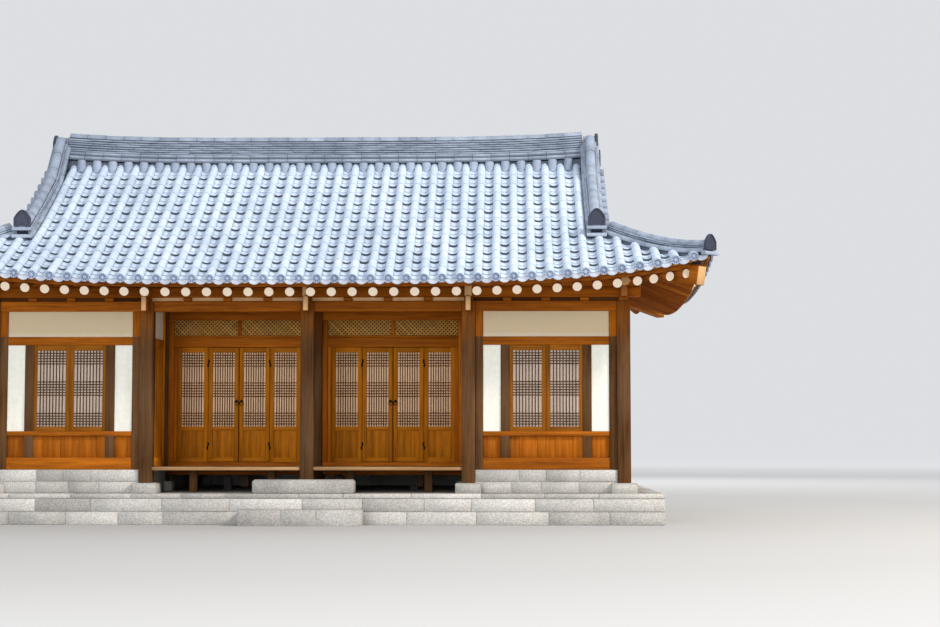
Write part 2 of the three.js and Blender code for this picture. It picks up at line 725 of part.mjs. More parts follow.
// Rafters, eave boards and corner rafters
const boardShares = [0, 0.06, 0.14, 0.26, 0.5, 0.74, 0.86, 0.94, 1];
const boardGap = 6;
const boardEnd = 200; // from the corner of the eave
const boardRise = 59; // from the rafters' centres
const boardFront = 170;
const boardBack = 230;
const cornerRafterHalf = 90;
const cornerRafterDeep = 282;
const cornerRafterIn = [40, 1700];
const fanFirst = 145; // from the corner post's line
const fanPitch = 235;
const fanCount = 4;
const fanTurn = 9;
const endRafterIn = 1700;
const endRafterPitch = 300;
const raftersPerBay = 8;
const regionIn = 20; // from the gable wall
const regionOut = 100; // past the eave
const regionDepth = 1000;

function fanRafters(toPoint) {
  const rafters = [];
  for (let j = 0; j < fanCount; j++) {
    const outer = backLine + fanFirst + fanPitch * j; // along the eave from the middle line of the end
    const slope = Math.tan(THREE.MathUtils.degToRad(fanTurn * (j + 1)));
    const endDepth = eaveY - rafterEnd;
    const depth = (outer - endDepth * slope) / (1 - slope);
    const endZ = rafterCentreAt(rafterEnd, eaveY - outer);
    const hipZ = rafterCentreAt(eaveY - depth, eaveY - depth);
    rafters.push(log(toPoint(outer, endDepth, endZ), toPoint(depth, depth, hipZ), rafterRadius, rafterSides));
  }
  return rafters;
}

function eaveBoard(toPoint, halfLong) {
  const sections = boardShares.map((share) => {
    const along = halfLong * (2 * share - 1);
    const s = halfLong + boardEnd - Math.abs(along);
    const low = rafterCentreAt((boardFront + boardBack) / 2, s) + boardRise;
    const high = troughAt(boardFront, s) - edgeDrop - boardGap;
    return [[boardFront, low], [boardFront, high], [boardBack, high], [boardBack, low]]
      .map(([t, z]) => toPoint(along, t, z));
  });
  return loft(sections);
}

function cornerRafter(sideX, sideY) {
  const topAt = (t) => {
    const [t0, t1] = [rafterEnd, cornerRafterIn[1]];
    const [z0, z1] = [rafterCentreAt(t0, t0), rafterCentreAt(t1, t1)];
    return rafterTopRise + z0 + ((z1 - z0) * (t - t0)) / (t1 - t0);
  };
  const across = cornerRafterHalf / Math.SQRT2;
  const sections = cornerRafterIn.map((t) => {
    const [x, y] = [eaveX - t, eaveY - t];
    const z = topAt(t);
    return [[1, z], [-1, z], [-1, z - cornerRafterDeep], [1, z - cornerRafterDeep]]
      .map(([turn, height]) => [sideX * (x + turn * across), sideY * (y - turn * across), height]);
  });
  return loft(sections);
}

function longRafterRegion(side) {
  const edge = cornerRafterHalf * Math.SQRT2;
  const inner = gableOuter + regionIn;
  const half = (depth) => depth + hipOffset + edge;
  const turnDepth = inner - hipOffset - edge;
  const outer = eaveY + regionOut;
  const right = [[half(outer), outer], [half(turnDepth), turnDepth], [inner, regionDepth]];
  const left = right.map(([x, depth]) => [-x, depth]).reverse();
  return prism([...right, ...left].map(([x, depth]) => [x, side * depth]), 0, aboveRoof);
}

function longRafters(side) {
  const parts = [];
  const bays = [[-endLine, sideBay], [-centreBay, centreBay], [0, centreBay], [centreBay, sideBay]];
  for (const [start, bay] of bays) {
    for (let k = 0; k < raftersPerBay; k++) {
      const x = start + ((k + 0.5) * bay) / raftersPerBay;
      const s = insetX(x);
      const from = [x, side * (eaveY - rafterEnd), rafterCentreAt(rafterEnd, s)];
      const to = [x, side * (eaveY - middlePurlinIn), rafterCentreAt(middlePurlinIn, s)];
      parts.push(log(from, to, rafterRadius, rafterSides));
    }
  }
  for (const sideX of [-1, 1]) {
    parts.push(...fanRafters((along, depth, z) => [sideX * (along + hipOffset), side * depth, z]));
    parts.push(cornerRafter(sideX, side));
  }
  parts.push(eaveBoard((along, t, z) => [along, side * (eaveY - t), z], eaveX - boardEnd));
  return join(parts);
}

function endRafters(side) {
  const parts = [];
  for (let k = -8; k < 8; k++) {
    const y = (k + 0.5) * endRafterPitch;
    const s = insetY(y);
    const from = [side * (eaveX - rafterEnd), y, rafterCentreAt(rafterEnd, s)];
    const to = [side * (eaveX - endRafterIn), y, rafterCentreAt(endRafterIn, s)];
    parts.push(log(from, to, rafterRadius, rafterSides));
  }
  for (const sideY of [-1, 1]) {
    parts.push(...fanRafters((along, depth, z) => [side * (depth + hipOffset), sideY * along, z]));
  }
  parts.push(eaveBoard((along, t, z) => [side * (eaveX - t), along, z], eaveY - boardEnd));
  return join(parts);
}

const purlinReach = 300; // past the corner posts' lines
const roofCutters = [overLongRoof(-1), overLongRoof(1), overEndRoof(-1), overEndRoof(1)];

for (const [label, side] of [['front', -1], ['back', 1]]) {
  const purlins = [
    ...purlinKeepOuts,
    ...[-1, 1].map((end) => {
      const x = end * endLine;
      const reach = backLine + purlinReach;
      return log([x, -reach, purlinZ], [x, reach, purlinZ], purlinRadius + seatGap);
    }),
    ...[-1, 1].map((line) => {
      const y = line * backLine;
      const reach = endLine + purlinReach;
      return log([-reach, y, purlinZ], [reach, y, purlinZ], purlinRadius + seatGap);
    }),
  ];
  const rafters = longRafters(side).intersect(longRafterRegion(side));
  addNode(`${label}_rafters`, cutAll(rafters, [...roofCutters, ...purlins]), 'timber');
}

for (const [label, side] of [['left', -1], ['right', 1]]) {
  const region = endWedge(side, gableOuter + regionIn, eaveX + regionOut, cornerRafterHalf + seatGap);
  addNode(`${label}_rafters`, cutAll(endRafters(side).intersect(region), roofCutters), 'timber');
}

// Roof beds
addNode('front_roof', longRoof(-1), 'tile');
addNode('back_roof', longRoof(1), 'tile');
for (const [label, side] of [['left', -1], ['right', 1]]) {
  addNode(`${label}_roof`, cutAll(endRoof(side), roofCutters.slice(0, 2)), 'tile');
}

// Rows of tile on the long sides: raised cover rows over the pans, up to the ridges' flanks
const tilePitch = 258.7;
const coverHalf = 70;
const coverShoulder = 45;
const coverRise = 122;
const panRise = 30;
const tileEdge = 22; // in from the eave
const tileSplit = 1235; // above this the rows lie between the descending ridges
const tileEnd = 3440;
const hipClear = 170; // along the eave, from the hip line to the end of a row
const upperRows = 16;
const lowerRows = 21;
const tileFoot = 2140; // above the floor and below the bed, which then cuts the sheet to its own top

function tileTop(x, y) {
  const fromRow = Math.abs(x - Math.round(x / tilePitch) * tilePitch);
  const rise = fromRow < (coverHalf + coverShoulder) / 2 ? coverRise : panRise;
  return troughAt(insetY(y), insetX(x)) + rise;
}

function tileColumns(count) {
  const columns = [];
  for (let k = -count; k <= count; k++) {
    for (const u of [-coverHalf, -coverShoulder, coverShoulder, coverHalf]) columns.push(k * tilePitch + u);
  }
  return columns;
}

function tileRows(side) {
  const edge = (lowerRows + 0.5) * tilePitch;
  const lowColumns = [-edge, ...tileColumns(lowerRows), edge];
  const endOf = (x) => Math.min(tileSplit, insetX(x) - hipClear);
  const low = [0, 1].map((share) => lowColumns.map((x) => [
    x, side * (eaveY - tileEdge - share * (endOf(x) - tileEdge))]));
  const high = [tileSplit, middlePurlinIn, tileEnd].map((t) => (
    tileColumns(upperRows).map((x) => [x, side * (eaveY - t)])));
  const foot = () => floorTop + tileFoot;
  return slab(low, tileTop, foot).add(slab(high, tileTop, foot)).subtract(belowLongRoof(side));
}

addNode('front_tile_rows', tileRows(-1), 'tile');
addNode('back_tile_rows', tileRows(1), 'tile');

// Gables: a wall under the verge, with verge boards held out on the purlin ends
const vergeBoard = [4400, 4440];
const vergeBoardDeep = 230;
const vergeBoardFoot = 2030;
const vergeBoardRise = 20; // into the roof bed, before it is cut to it
const gableWall = { half: 1900, z: [3240, 4900] };
const ridgeEndBlock = { half: 90, z: [-90, 60] }; // from the ridge purlin's centre
const sideEndBlock = { y: 700, half: 60, z: [3850, 3960] };

function gable(side) {
  const span = (a, b) => [side * a, side * b].sort((p, q) => p - q);
  const wallZ = gableWall.z.map((z) => floorTop + z);
  const wall = boxSolid([...span(gableInner, gableOuter), -gableWall.half, gableWall.half, ...wallZ]);
  const places = [vergeBoardFoot, 1700, 1451, eaveY - middlePurlinIn, 600, 0];
  const steps = [...places.map((y) => -y), ...places.slice(0, -1).reverse()];
  const boards = loft(steps.map((y) => {
    const z = longUnder(vergeBoard[1], y);
    const [low, high] = [z - vergeBoardDeep, z + vergeBoardRise];
    return [[0, high], [1, high], [1, low], [0, low]]
      .map(([edge, height]) => [side * vergeBoard[edge], y, height]);
  }));
  const held = span(gableOuter - 1, vergeBoard[0] + 1);
  const blockAt = (y, half, base, z) => boxSolid([...held, y - half, y + half, base + z[0], base + z[1]]);
  const ends = [
    blockAt(0, ridgeEndBlock.half, ridgePurlinZ, ridgeEndBlock.z),
    ...[-1, 1].map((end) => blockAt(end * sideEndBlock.y, sideEndBlock.half, floorTop, sideEndBlock.z)),
  ];
  const below = belowEndRoof(side);
  return cutAll(join([wall, boards, ...ends]), [roofCutters[0], roofCutters[1], below]);
}

addNode('left_gable', gable(-1), 'plaster');
addNode('right_gable', gable(1), 'plaster');

// Ridges of stacked tile
const ridgeX = 4360;
const ridgeTop = 5340;
const ridgeSweep = 90;
const ridgeHalf = [150, 100];
const slopeRidgeHalf = [120, 85];
const slopeRidgeHigh = 260;
const slopeRidgeFoot = 2350;
const slopeRidgeUpper = { reach: 600, rise: 330 }; // towards the main ridge
const slopeRidgeLower = { from: 2200, rise: 60 }; // towards its foot
const hipRidgeHalf = [110, 80];
const hipRidgeHigh = 235;
const hipRidgeTip = { reach: 100, rise: 45 };
const bedCutters = [belowLongRoof(-1), belowLongRoof(1), belowEndRoof(-1), belowEndRoof(1)];
const sunk = 120; // how far a ridge reaches into the bed before it is cut to it

// A standing tile at a ridge's end: straight flanks under a round arch
const slopeEnd = { half: 130, depths: [2305, 2360], high: 465 };
const vergeEnd = { half: 140, places: [4430, 4498], top: 5390 };
const hipEnd = { half: 115, insets: [95, 50], high: 310 };
const archSteps = 6;

function archOutline(half, foot, top) {
  const points = [[-half, foot], [half, foot]];
  for (let i = 0; i <= archSteps; i++) {
    const angle = (Math.PI * i) / archSteps;
    points.push([half * Math.cos(angle), top - half + half * Math.sin(angle)]);
  }
  return points;
}

function mainRidge() {
  const end = ridgeX - slopeRidgeHalf[0] - seatGap;
  const sections = [-1, -0.85, -0.65, -0.4, 0, 0.4, 0.65, 0.85, 1].map((share) => {
    const x = share * end;
    const top = floorTop + ridgeTop + ridgeSweep * (x / ridgeX) ** 4;
    const foot = longTop(0, 0) - 2 * sunk;
    return [[-ridgeHalf[0], foot], [ridgeHalf[0], foot], [ridgeHalf[1], top], [-ridgeHalf[1], top]]
      .map(([y, z]) => [x, y, z]);
  });
  return cutAll(loft(sections), bedCutters.slice(0, 2));
}

function slopeRidge(side) {
  const { reach, rise } = slopeRidgeUpper;
  const places = [slopeRidgeFoot, slopeRidgeLower.from, 1900, 1451, 1000, reach, reach / 2, 0];
  const steps = [...places.map((y) => -y), ...places.slice(0, -1).reverse()];
  const sections = steps.map((y) => {
    const bed = longTop(ridgeX, y);
    const upper = Math.max(0, 1 - Math.abs(y) / reach);
    const lower = Math.max(0, (Math.abs(y) - slopeRidgeLower.from) / (slopeRidgeFoot - slopeRidgeLower.from));
    const top = bed + bedDrop + slopeRidgeHigh + rise * upper + slopeRidgeLower.rise * lower;
    return [[-slopeRidgeHalf[0], bed - sunk], [slopeRidgeHalf[0], bed - sunk], [slopeRidgeHalf[1], top],
      [-slopeRidgeHalf[1], top]].map(([x, z]) => [side * (ridgeX + x), y, z]);
  });
  const bedAt = (y) => longTop(ridgeX, y);
  const feet = [-1, 1].map((end) => loft(slopeEnd.depths.map((depth) => {
    const foot = bedAt(slopeEnd.depths[0]) + bedDrop;
    return archOutline(slopeEnd.half, foot - sunk, foot + slopeEnd.high)
      .map(([x, z]) => [side * ridgeX + x, end * depth, z]);
  })));
  const verge = loft(vergeEnd.places.map((x) => {
    const outline = archOutline(vergeEnd.half, bedAt(0) - sunk, floorTop + vergeEnd.top);
    return outline.map(([y, z]) => [side * x, y, z]);
  }));
  return cutAll(join([loft(sections), ...feet, verge]), bedCutters.slice(0, 2));
}

function hipRidge(sideX, sideY) {
  const sections = [1380, 1100, 800, 500, 250, 60].map((t) => {
    const [x, y] = [eaveX - t, eaveY - t];
    const bed = troughAt(t, t) - bedDrop;
    const top = bed + bedDrop + hipRidgeHigh + (t < hipRidgeTip.reach ? hipRidgeTip.rise : 0);
    return [[hipRidgeHalf[0], bed - sunk], [-hipRidgeHalf[0], bed - sunk], [-hipRidgeHalf[1], top],
      [hipRidgeHalf[1], top]].map(([across, z]) => [
      sideX * (x + across / Math.SQRT2), sideY * (y - across / Math.SQRT2), z]);
  });
  const bedAtEnd = troughAt(hipEnd.insets[0], hipEnd.insets[0]);
  const end = loft(hipEnd.insets.map((t) => archOutline(hipEnd.half, bedAtEnd - sunk, bedAtEnd + hipEnd.high)
    .map(([across, z]) => [
      sideX * (eaveX - t + across / Math.SQRT2), sideY * (eaveY - t - across / Math.SQRT2), z])));
  return cutAll(loft(sections).add(end), bedCutters);
}

addNode('main_ridge', mainRidge(), 'tile');
addNode('left_slope_ridge', slopeRidge(-1), 'tile');
addNode('right_slope_ridge', slopeRidge(1), 'tile');
for (const [labelY, sideY] of [['front', -1], ['back', 1]]) {
  for (const [labelX, sideX] of [['left', -1], ['right', 1]]) {
    addNode(`${labelY}_${labelX}_hip_ridge`, hipRidge(sideX, sideY), 'tile');
  }
}

export default house;
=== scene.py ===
import math
import bpy
import numpy as np
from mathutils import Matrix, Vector


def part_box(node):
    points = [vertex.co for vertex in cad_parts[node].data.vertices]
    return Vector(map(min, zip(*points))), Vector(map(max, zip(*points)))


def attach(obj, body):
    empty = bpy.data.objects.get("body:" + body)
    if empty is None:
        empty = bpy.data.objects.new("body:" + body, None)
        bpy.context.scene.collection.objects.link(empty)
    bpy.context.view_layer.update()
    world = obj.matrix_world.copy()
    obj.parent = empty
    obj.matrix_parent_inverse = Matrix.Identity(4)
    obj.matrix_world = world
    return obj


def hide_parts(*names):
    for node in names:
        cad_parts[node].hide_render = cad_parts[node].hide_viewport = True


# A timber house with a hip-and-gable tiled roof. Metres, +Z up, X along the front, the front faces -Y.

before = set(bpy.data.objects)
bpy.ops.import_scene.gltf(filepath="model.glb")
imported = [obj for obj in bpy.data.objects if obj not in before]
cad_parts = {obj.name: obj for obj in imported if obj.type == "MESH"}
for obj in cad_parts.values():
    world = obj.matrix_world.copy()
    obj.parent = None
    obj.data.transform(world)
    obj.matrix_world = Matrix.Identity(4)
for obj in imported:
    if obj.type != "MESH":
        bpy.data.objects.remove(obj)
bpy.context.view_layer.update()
bpy.context.scene.view_settings.view_transform = "Standard"
print("frame loaded:", len(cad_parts), "nodes")

# Sizes read from the frame
postBoxes = [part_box(f"front_post_{i}") for i in range(1, 6)]
postLines = [(low.x + high.x) / 2 for low, high in postBoxes]
frontLine = (postBoxes[0][0].y + postBoxes[0][1].y) / 2
backLine = -frontLine
hallLine = frontLine / 2
endLine, centreBay, innerLines = postLines[4], postLines[3], postLines[1:4]
sideBay = endLine - centreBay
floorTop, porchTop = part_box("hall_floor")[1].z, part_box("porch_floor")[1].z
platformTop, cornerstoneTop, postHalf = 0.45, 0.60, 0.10

# Heights above the floor
heights = {
    "lintelBottom": 2.278, "lintelTop": 2.433, "blockTop": 2.49, "plateTop": 2.64,
    "purlinTop": 2.8545, "beamTop": 2.79, "bracketBottom": 2.27,
}


# Meshes

def makePart(points, quads, tris=(), grain=None, tone=0.5, mark=0.0):
    # points (n, 3); grain is each point's place in its own piece of wood, tone its shade, mark a mask
    points = np.reshape(points, (-1, 3)).astype(float)
    spread = np.ones(len(points))
    return {
        "points": points, "quads": np.reshape(quads, (-1, 4)).astype(int),
        "tris": np.reshape(tris, (-1, 3)).astype(int),
        "grain": points if grain is None else np.reshape(grain, (-1, 3)),
        "tone": spread * np.ravel(tone), "mark": spread * np.ravel(mark),
    }


def joinParts(parts):
    # each part's indices move up by the points before it
    starts = np.cumsum([0] + [len(part["points"]) for part in parts])
    return {
        key: np.concatenate([
            part[key] + (start if key in ("quads", "tris") else 0) for part, start in zip(parts, starts)])
        for key in parts[0]
    }


def addPiece(name, parts, finish, body="house", replaces=(), smooth=None):
    # smooth is the angle in degrees past which an edge stays sharp
    part = joinParts(parts) if isinstance(parts, list) else parts
    material, slot = finishes[finish]
    mesh = bpy.data.meshes.new(name)
    quads, tris = part["quads"], part["tris"]
    mesh.vertices.add(len(part["points"]))
    mesh.vertices.foreach_set("co", part["points"].astype(np.float32).ravel())
    loops = np.concatenate([quads.ravel(), tris.ravel()]).astype(np.int32)
    mesh.loops.add(len(loops))
    mesh.loops.foreach_set("vertex_index", loops)
    starts = np.concatenate([np.arange(len(quads)) * 4, len(quads) * 4 + np.arange(len(tris)) * 3])
    mesh.polygons.add(len(starts))
    mesh.polygons.foreach_set("loop_start", starts.astype(np.int32))
    mesh.update(calc_edges=True)
    for key in ("grain", "tone", "mark"):
        kind, field = ("FLOAT_VECTOR", "vector") if key == "grain" else ("FLOAT", "value")
        mesh.attributes.new(key, kind, "POINT").data.foreach_set(field, part[key].astype(np.float32).ravel())
    if smooth is not None:
        mesh.shade_smooth()
        mesh.set_sharp_from_angle(angle=math.radians(smooth))
    mesh.materials.append(material)
    piece = bpy.data.objects.new(name, mesh)
    bpy.context.scene.collection.objects.link(piece)
    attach(piece, body)
    if replaces:
        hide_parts(*replaces)


def ringQuads(rings, across, closed=False):
    # quads between neighbouring rings of a grid
    places = np.arange(across if closed else across - 1)
    ring, place = np.meshgrid(np.arange(rings - 1), places, indexing="ij")
    here, beside = ring * across + place, ring * across + (place + 1) % across
    return np.stack([here, beside, beside + across, here + across], -1).reshape(-1, 4)


def capQuads(across):
    # a ring of an even number of points, closed by quads between its mirrored pairs
    i = np.arange(across // 2 - 1)
    return np.stack([i, i + 1, across - 2 - i, across - 1 - i], -1)


def tube(rings, across):
    # closed rings one behind another, with a cap at both ends
    cap = capQuads(across)
    return ringQuads(rings, across, True), cap[:, ::-1], cap + (rings - 1) * across


def shell(rings, across):
    # an open grid closed into a shell: its last ring meets its first, and its two side edges are filled
    place = np.arange(across - 1)
    last = (rings - 1) * across + place
    seam = np.stack([last, last + 1, place + 1, place], -1)
    side = capQuads(rings) * across
    return [np.concatenate([ringQuads(rings, across), seam, side, side[:, ::-1] + across - 1])]


def solids(points, form, tone, mark, grain=None):
    # copies of one closed grid, points (copies, rings, across, 3), each with its own tone
    copies, rings, across = points.shape[:3]
    step = rings * across * np.arange(copies)[:, None, None]
    quads = np.concatenate([(group + step).reshape(-1, 4) for group in form(rings, across)])
    grid = np.ones((copies, rings, across))
    return orient(makePart(points, quads, (), grain, grid * np.reshape(tone, (-1, 1, 1)), grid * mark))


def orient(part):
    # quads are turned where the volume they enclose is negative
    a, b, c, d = (part["points"][part["quads"][:, i]] for i in range(4))
    areas = np.cross(b - a, d - a) + np.cross(d - c, b - c)
    if (areas * a).sum() < 0:
        part["quads"] = part["quads"][:, ::-1]
    return part


def unit(vectors):
    return vectors / np.linalg.norm(vectors, axis=-1, keepdims=True)


def chamferedBox():
    # 24 points: corner c on the face across axis k; 6 faces, 12 chamfers and 8 corner triangles
    signs = np.array([[x, y, z] for x in (-1, 1) for y in (-1, 1) for z in (-1, 1)])

    def point(k, **values):
        sign = [values[axis] for axis in "xyz"]
        return 3 * int(np.flatnonzero((signs == sign).all(1))[0]) + k

    quads, tris = [], [[3 * c, 3 * c + 1, 3 * c + 2] for c in range(8)]
    for k in range(3):
        names = ["xyz"[(k + i) % 3] for i in range(3)]
        a, b = (k + 1) % 3, (k + 2) % 3
        for side in (-1, 1):
            quads.append([point(k, **dict(zip(names, (side, sa, sb))))
                          for sa, sb in ((-1, -1), (1, -1), (1, 1), (-1, 1))])
            edge = [point(on, **dict(zip(names, (end, side, other))))
                    for other in (-1, 1) for end, on in ((-1, a), (1, a), (1, b), (-1, b))]
            quads.extend([edge[:4], edge[4:]])
    points = (signs[:, None] * (1 - 0.1 * (1 - np.eye(3)))[None]).reshape(-1, 3)

    def outward(face):
        spot = points[face]
        return face if np.cross(spot[1] - spot[0], spot[2] - spot[0]) @ spot.mean(0) > 0 else face[::-1]

    return signs, np.array([outward(face) for face in quads]), np.array([outward(face) for face in tris])


boxSigns, boxQuads, boxTris = chamferedBox()


def timbers(starts, ends, widths, depths, ups, chamfer, seed, toneSpread=0.22, endMark=0.15):
    # a chamfered beam from each start to its end: centre + along*l + across*w + up*d at its 24 box points
    draw = np.random.default_rng(seed)
    starts, ends = np.asarray(starts, float), np.asarray(ends, float)
    count = len(starts)
    along = unit(ends - starts)
    across = unit(np.cross(np.broadcast_to(np.asarray(ups, float), (count, 3)), along))
    axes = np.stack([along, across, np.cross(along, across)], 1)
    sizes = (np.linalg.norm(ends - starts, axis=1), widths, depths)
    half = np.stack([np.broadcast_to(size, count) for size in sizes], 1) / 2
    cut = np.minimum(np.broadcast_to(chamfer, count), half.min(1) * 0.6)
    shrink = half[:, None, None, :] - cut[:, None, None, None] * (1 - np.eye(3))
    local = (boxSigns[None, :, None, :] * shrink).reshape(count, 24, 3)
    points = (starts + ends)[:, None] / 2 + np.einsum("npk,nkd->npd", local, axes)
    grain = local + draw.uniform(0, 9, (count, 1, 3))
    tone = 0.5 + toneSpread * (draw.random(count) - 0.5) * 2
    mark = np.tile(np.eye(3)[0], 8) * endMark  # the two end faces, where their pale grain shows
    shift = (np.arange(count) * 24)[:, None, None]
    return makePart(
        points, boxQuads + shift, boxTris + shift, grain, np.repeat(tone, 24), np.tile(mark, count))


def boxTimbers(boxes, axis, chamfer, seed, toneSpread=0.22, endMark=0.15):
    # boxes are rows of [x0, x1, y0, y1, z0, z1], with the grain along one axis
    boxes = np.asarray(boxes, float).reshape(-1, 3, 2)
    size = boxes[:, :, 1] - boxes[:, :, 0]
    across, up = [(1, 2), (0, 2), (0, 1)][axis]
    ends = np.stack([boxes.mean(2)] * 2)
    ends[:, :, axis] = boxes[:, axis].T
    return timbers(*ends, size[:, across], size[:, up], np.eye(3)[up], chamfer, seed, toneSpread, endMark)


def logs(starts, ends, radius, sides, seed, edge=0.006):
    # a round log of rings: radius*cos(a)*across + radius*sin(a)*up, with rounded rims; radius may be a pair
    draw = np.random.default_rng(seed)
    starts, ends = np.asarray(starts, float), np.asarray(ends, float)
    count = len(starts)
    along = unit(ends - starts)
    across = unit(np.cross(np.where(np.abs(along[:, 2:]) > 0.9, [[1.0, 0, 0]], [[0, 0, 1.0]]), along))
    length = np.linalg.norm(ends - starts, axis=1)
    places = np.stack([np.zeros(count), np.full(count, edge), length - edge, length], 1)
    radii = np.repeat(np.ones(2) * radius, 2) - [edge, 0, 0, edge]
    angle = np.arange(sides) / sides * 2 * np.pi
    wide, high = radii[:, None] * np.cos(angle), radii[:, None] * np.sin(angle)
    local = np.stack(np.broadcast_arrays(places[:, :, None], wide, high), -1)
    axes = np.stack([along, across, np.cross(along, across)], 1)
    points = starts[:, None, None] + np.einsum("nrak,nkd->nrad", local, axes)
    grain = local + draw.uniform(0, 9, (count, 1, 1, 3))
    return solids(points, tube, 0.5 + 0.4 * (draw.random(count) - 0.5), [[1.0], [0], [0], [1.0]], grain)


# Materials

def feed(tree, node, values):
    # each socket takes a number, a colour or another node's (node, output)
    for socket, value in values.items():
        if isinstance(value, tuple) and len(value) == 2:
            tree.links.new(value[0].outputs[value[1]], node.inputs[socket])
        else:
            node.inputs[socket].default_value = value


def addNode(tree, kind, values=None, **settings):
    node = tree.nodes.new("ShaderNode" + kind)
    for key, value in settings.items():
        setattr(node, key, value)
    feed(tree, node, values or {})
    return node


def mathNode(tree, operation, first, second, clamp=False):
    return addNode(tree, "Math", {0: first, 1: second}, operation=operation, use_clamp=clamp), "Value"


def noiseNode(tree, vector, scale, detail=4.0, roughness=0.55):
    values = {"Vector": vector, "Scale": scale, "Detail": detail, "Roughness": roughness}
    return addNode(tree, "TexNoise", values), "Fac"


def stretched(tree, vector, scale):
    return addNode(tree, "Mapping", {"Vector": vector, "Scale": scale}), "Vector"


def rangeNode(tree, value, low, high, toLow=0.0, toHigh=1.0):
    values = {"Value": value, "From Min": low, "From Max": high, "To Min": toLow, "To Max": toHigh}
    return addNode(tree, "MapRange", values), "Result"


def mixColor(tree, factor, first, second, blend="MIX"):
    # first and second are colours or (node, output) pairs
    first, second = (value if len(value) == 2 else (*value, 1.0) for value in (first, second))
    return addNode(tree, "Mix", {0: factor, 6: first, 7: second}, data_type="RGBA", blend_type=blend), 2


def shaded(tree, color, value, *span):
    # the colour times the value, which is brought from one range to another
    return mixColor(tree, 1.0, color, rangeNode(tree, value, *span), "MULTIPLY")


def newGroup(name, inputs, outputs):
    # a vector and numbers with their start values come in, and numbers go out
    group = bpy.data.node_groups.new(name, "ShaderNodeTree")
    group.interface.new_socket("Vector", in_out="INPUT", socket_type="NodeSocketVector")
    for label, start in inputs.items():
        group.interface.new_socket(label, in_out="INPUT", socket_type="NodeSocketFloat").default_value = start
    for label in outputs:
        group.interface.new_socket(label, in_out="OUTPUT", socket_type="NodeSocketFloat")
    return group, group.nodes.new("NodeGroupInput"), group.nodes.new("NodeGroupOutput")


def makeWoodGrain():
    # streaks along the first axis: slow colour bands, fine fibres, knots and drying cracks
    group, source, result = newGroup("wood grain", {}, ("Bands", "Fibres", "Cracks", "Height"))
    warp, bands, fibres, cracks = (
        noiseNode(group, stretched(group, (source, "Vector"), scale), *noise) for scale, noise in (
            ((0.9, 3, 3), (1.6, 2)), ((0.8, 17, 17), (1.5, 5, 0.6)),
            ((3, 110, 110), (1.7, 3, 0.6)), ((0.7, 42, 42), (1.4, 2, 0.4))))
    bands = mathNode(group, "ADD", bands, mathNode(group, "MULTIPLY", warp, 0.35))
    cracks = rangeNode(group, cracks, 0.66, 0.72)
    height = mathNode(group, "SUBTRACT", mathNode(group, "MULTIPLY", fibres, 0.5), cracks)
    feed(group, result, {
        "Bands": rangeNode(group, bands, 0.42, 0.95), "Fibres": fibres, "Cracks": cracks, "Height": height})
    return group


def makeMottle():
    # soft blotches of two sizes, as weather, damp and dust leave them
    group, source, result = newGroup("mottle", {"Broad": 0.8, "Fine": 9.0}, ("Broad", "Fine"))
    for label, detail in (("Broad", 4), ("Fine", 6)):
        noise = noiseNode(group, (source, "Vector"), (source, label), detail, 0.5)
        feed(group, result, {label: rangeNode(group, noise, 0.3, 0.7)})
    return group


def makePlankSeams():
    # across the second axis: a dark joint at every width, and a random shade for each plank
    group, source, result = newGroup("plank seams", {"Width": 0.18}, ("Seam", "Shade"))
    split = addNode(group, "SeparateXYZ", {"Vector": (source, "Vector")})
    across = mathNode(group, "DIVIDE", (split, "Y"), (source, "Width"))
    plank = mathNode(group, "FLOOR", across, 0.0)
    noise = addNode(group, "TexWhiteNoise", {"W": plank}, noise_dimensions="1D")
    seam = rangeNode(group, mathNode(group, "PINGPONG", across, 0.5), 0.012, 0.035, 1.0, 0.0)
    feed(group, result, {"Seam": seam, "Shade": (noise, "Value")})
    return group


woodGrain, mottle, plankSeams = makeWoodGrain(), makeMottle(), makePlankSeams()


def startMaterial(name, roughness, gloss=0.5, metallic=0.0):
    material = bpy.data.materials.new(name)
    material.use_nodes = True
    tree = material.node_tree
    feed(tree, tree.nodes["Principled BSDF"], {
        "Roughness": roughness, "Specular IOR Level": gloss, "Metallic": metallic})
    return material, tree


def closeMaterial(material, color, height, strength, distance, fine=None, *rough):
    # the colour, the bump, and a roughness that a mask carries between two values
    tree = material.node_tree
    bump = addNode(tree, "Bump", {"Height": height, "Strength": strength, "Distance": distance})
    values = {"Base Color": color, "Normal": (bump, "Normal")}
    if fine:
        values["Roughness"] = rangeNode(tree, fine, 0.0, 1.0, *rough)
    feed(tree, tree.nodes["Principled BSDF"], values)
    return material


def attributeOf(tree, name, output="Fac"):
    return addNode(tree, "Attribute", attribute_name=name), output


def objectPlace(tree):
    return addNode(tree, "TexCoord"), "Object"


def heightOf(tree, place):
    return addNode(tree, "SeparateXYZ", {"Vector": place}), "Z"


def placeGroup(tree, group, vector, **values):
    node = addNode(tree, "Group", node_tree=group)
    feed(tree, node, {"Vector": vector, **values})
    return node


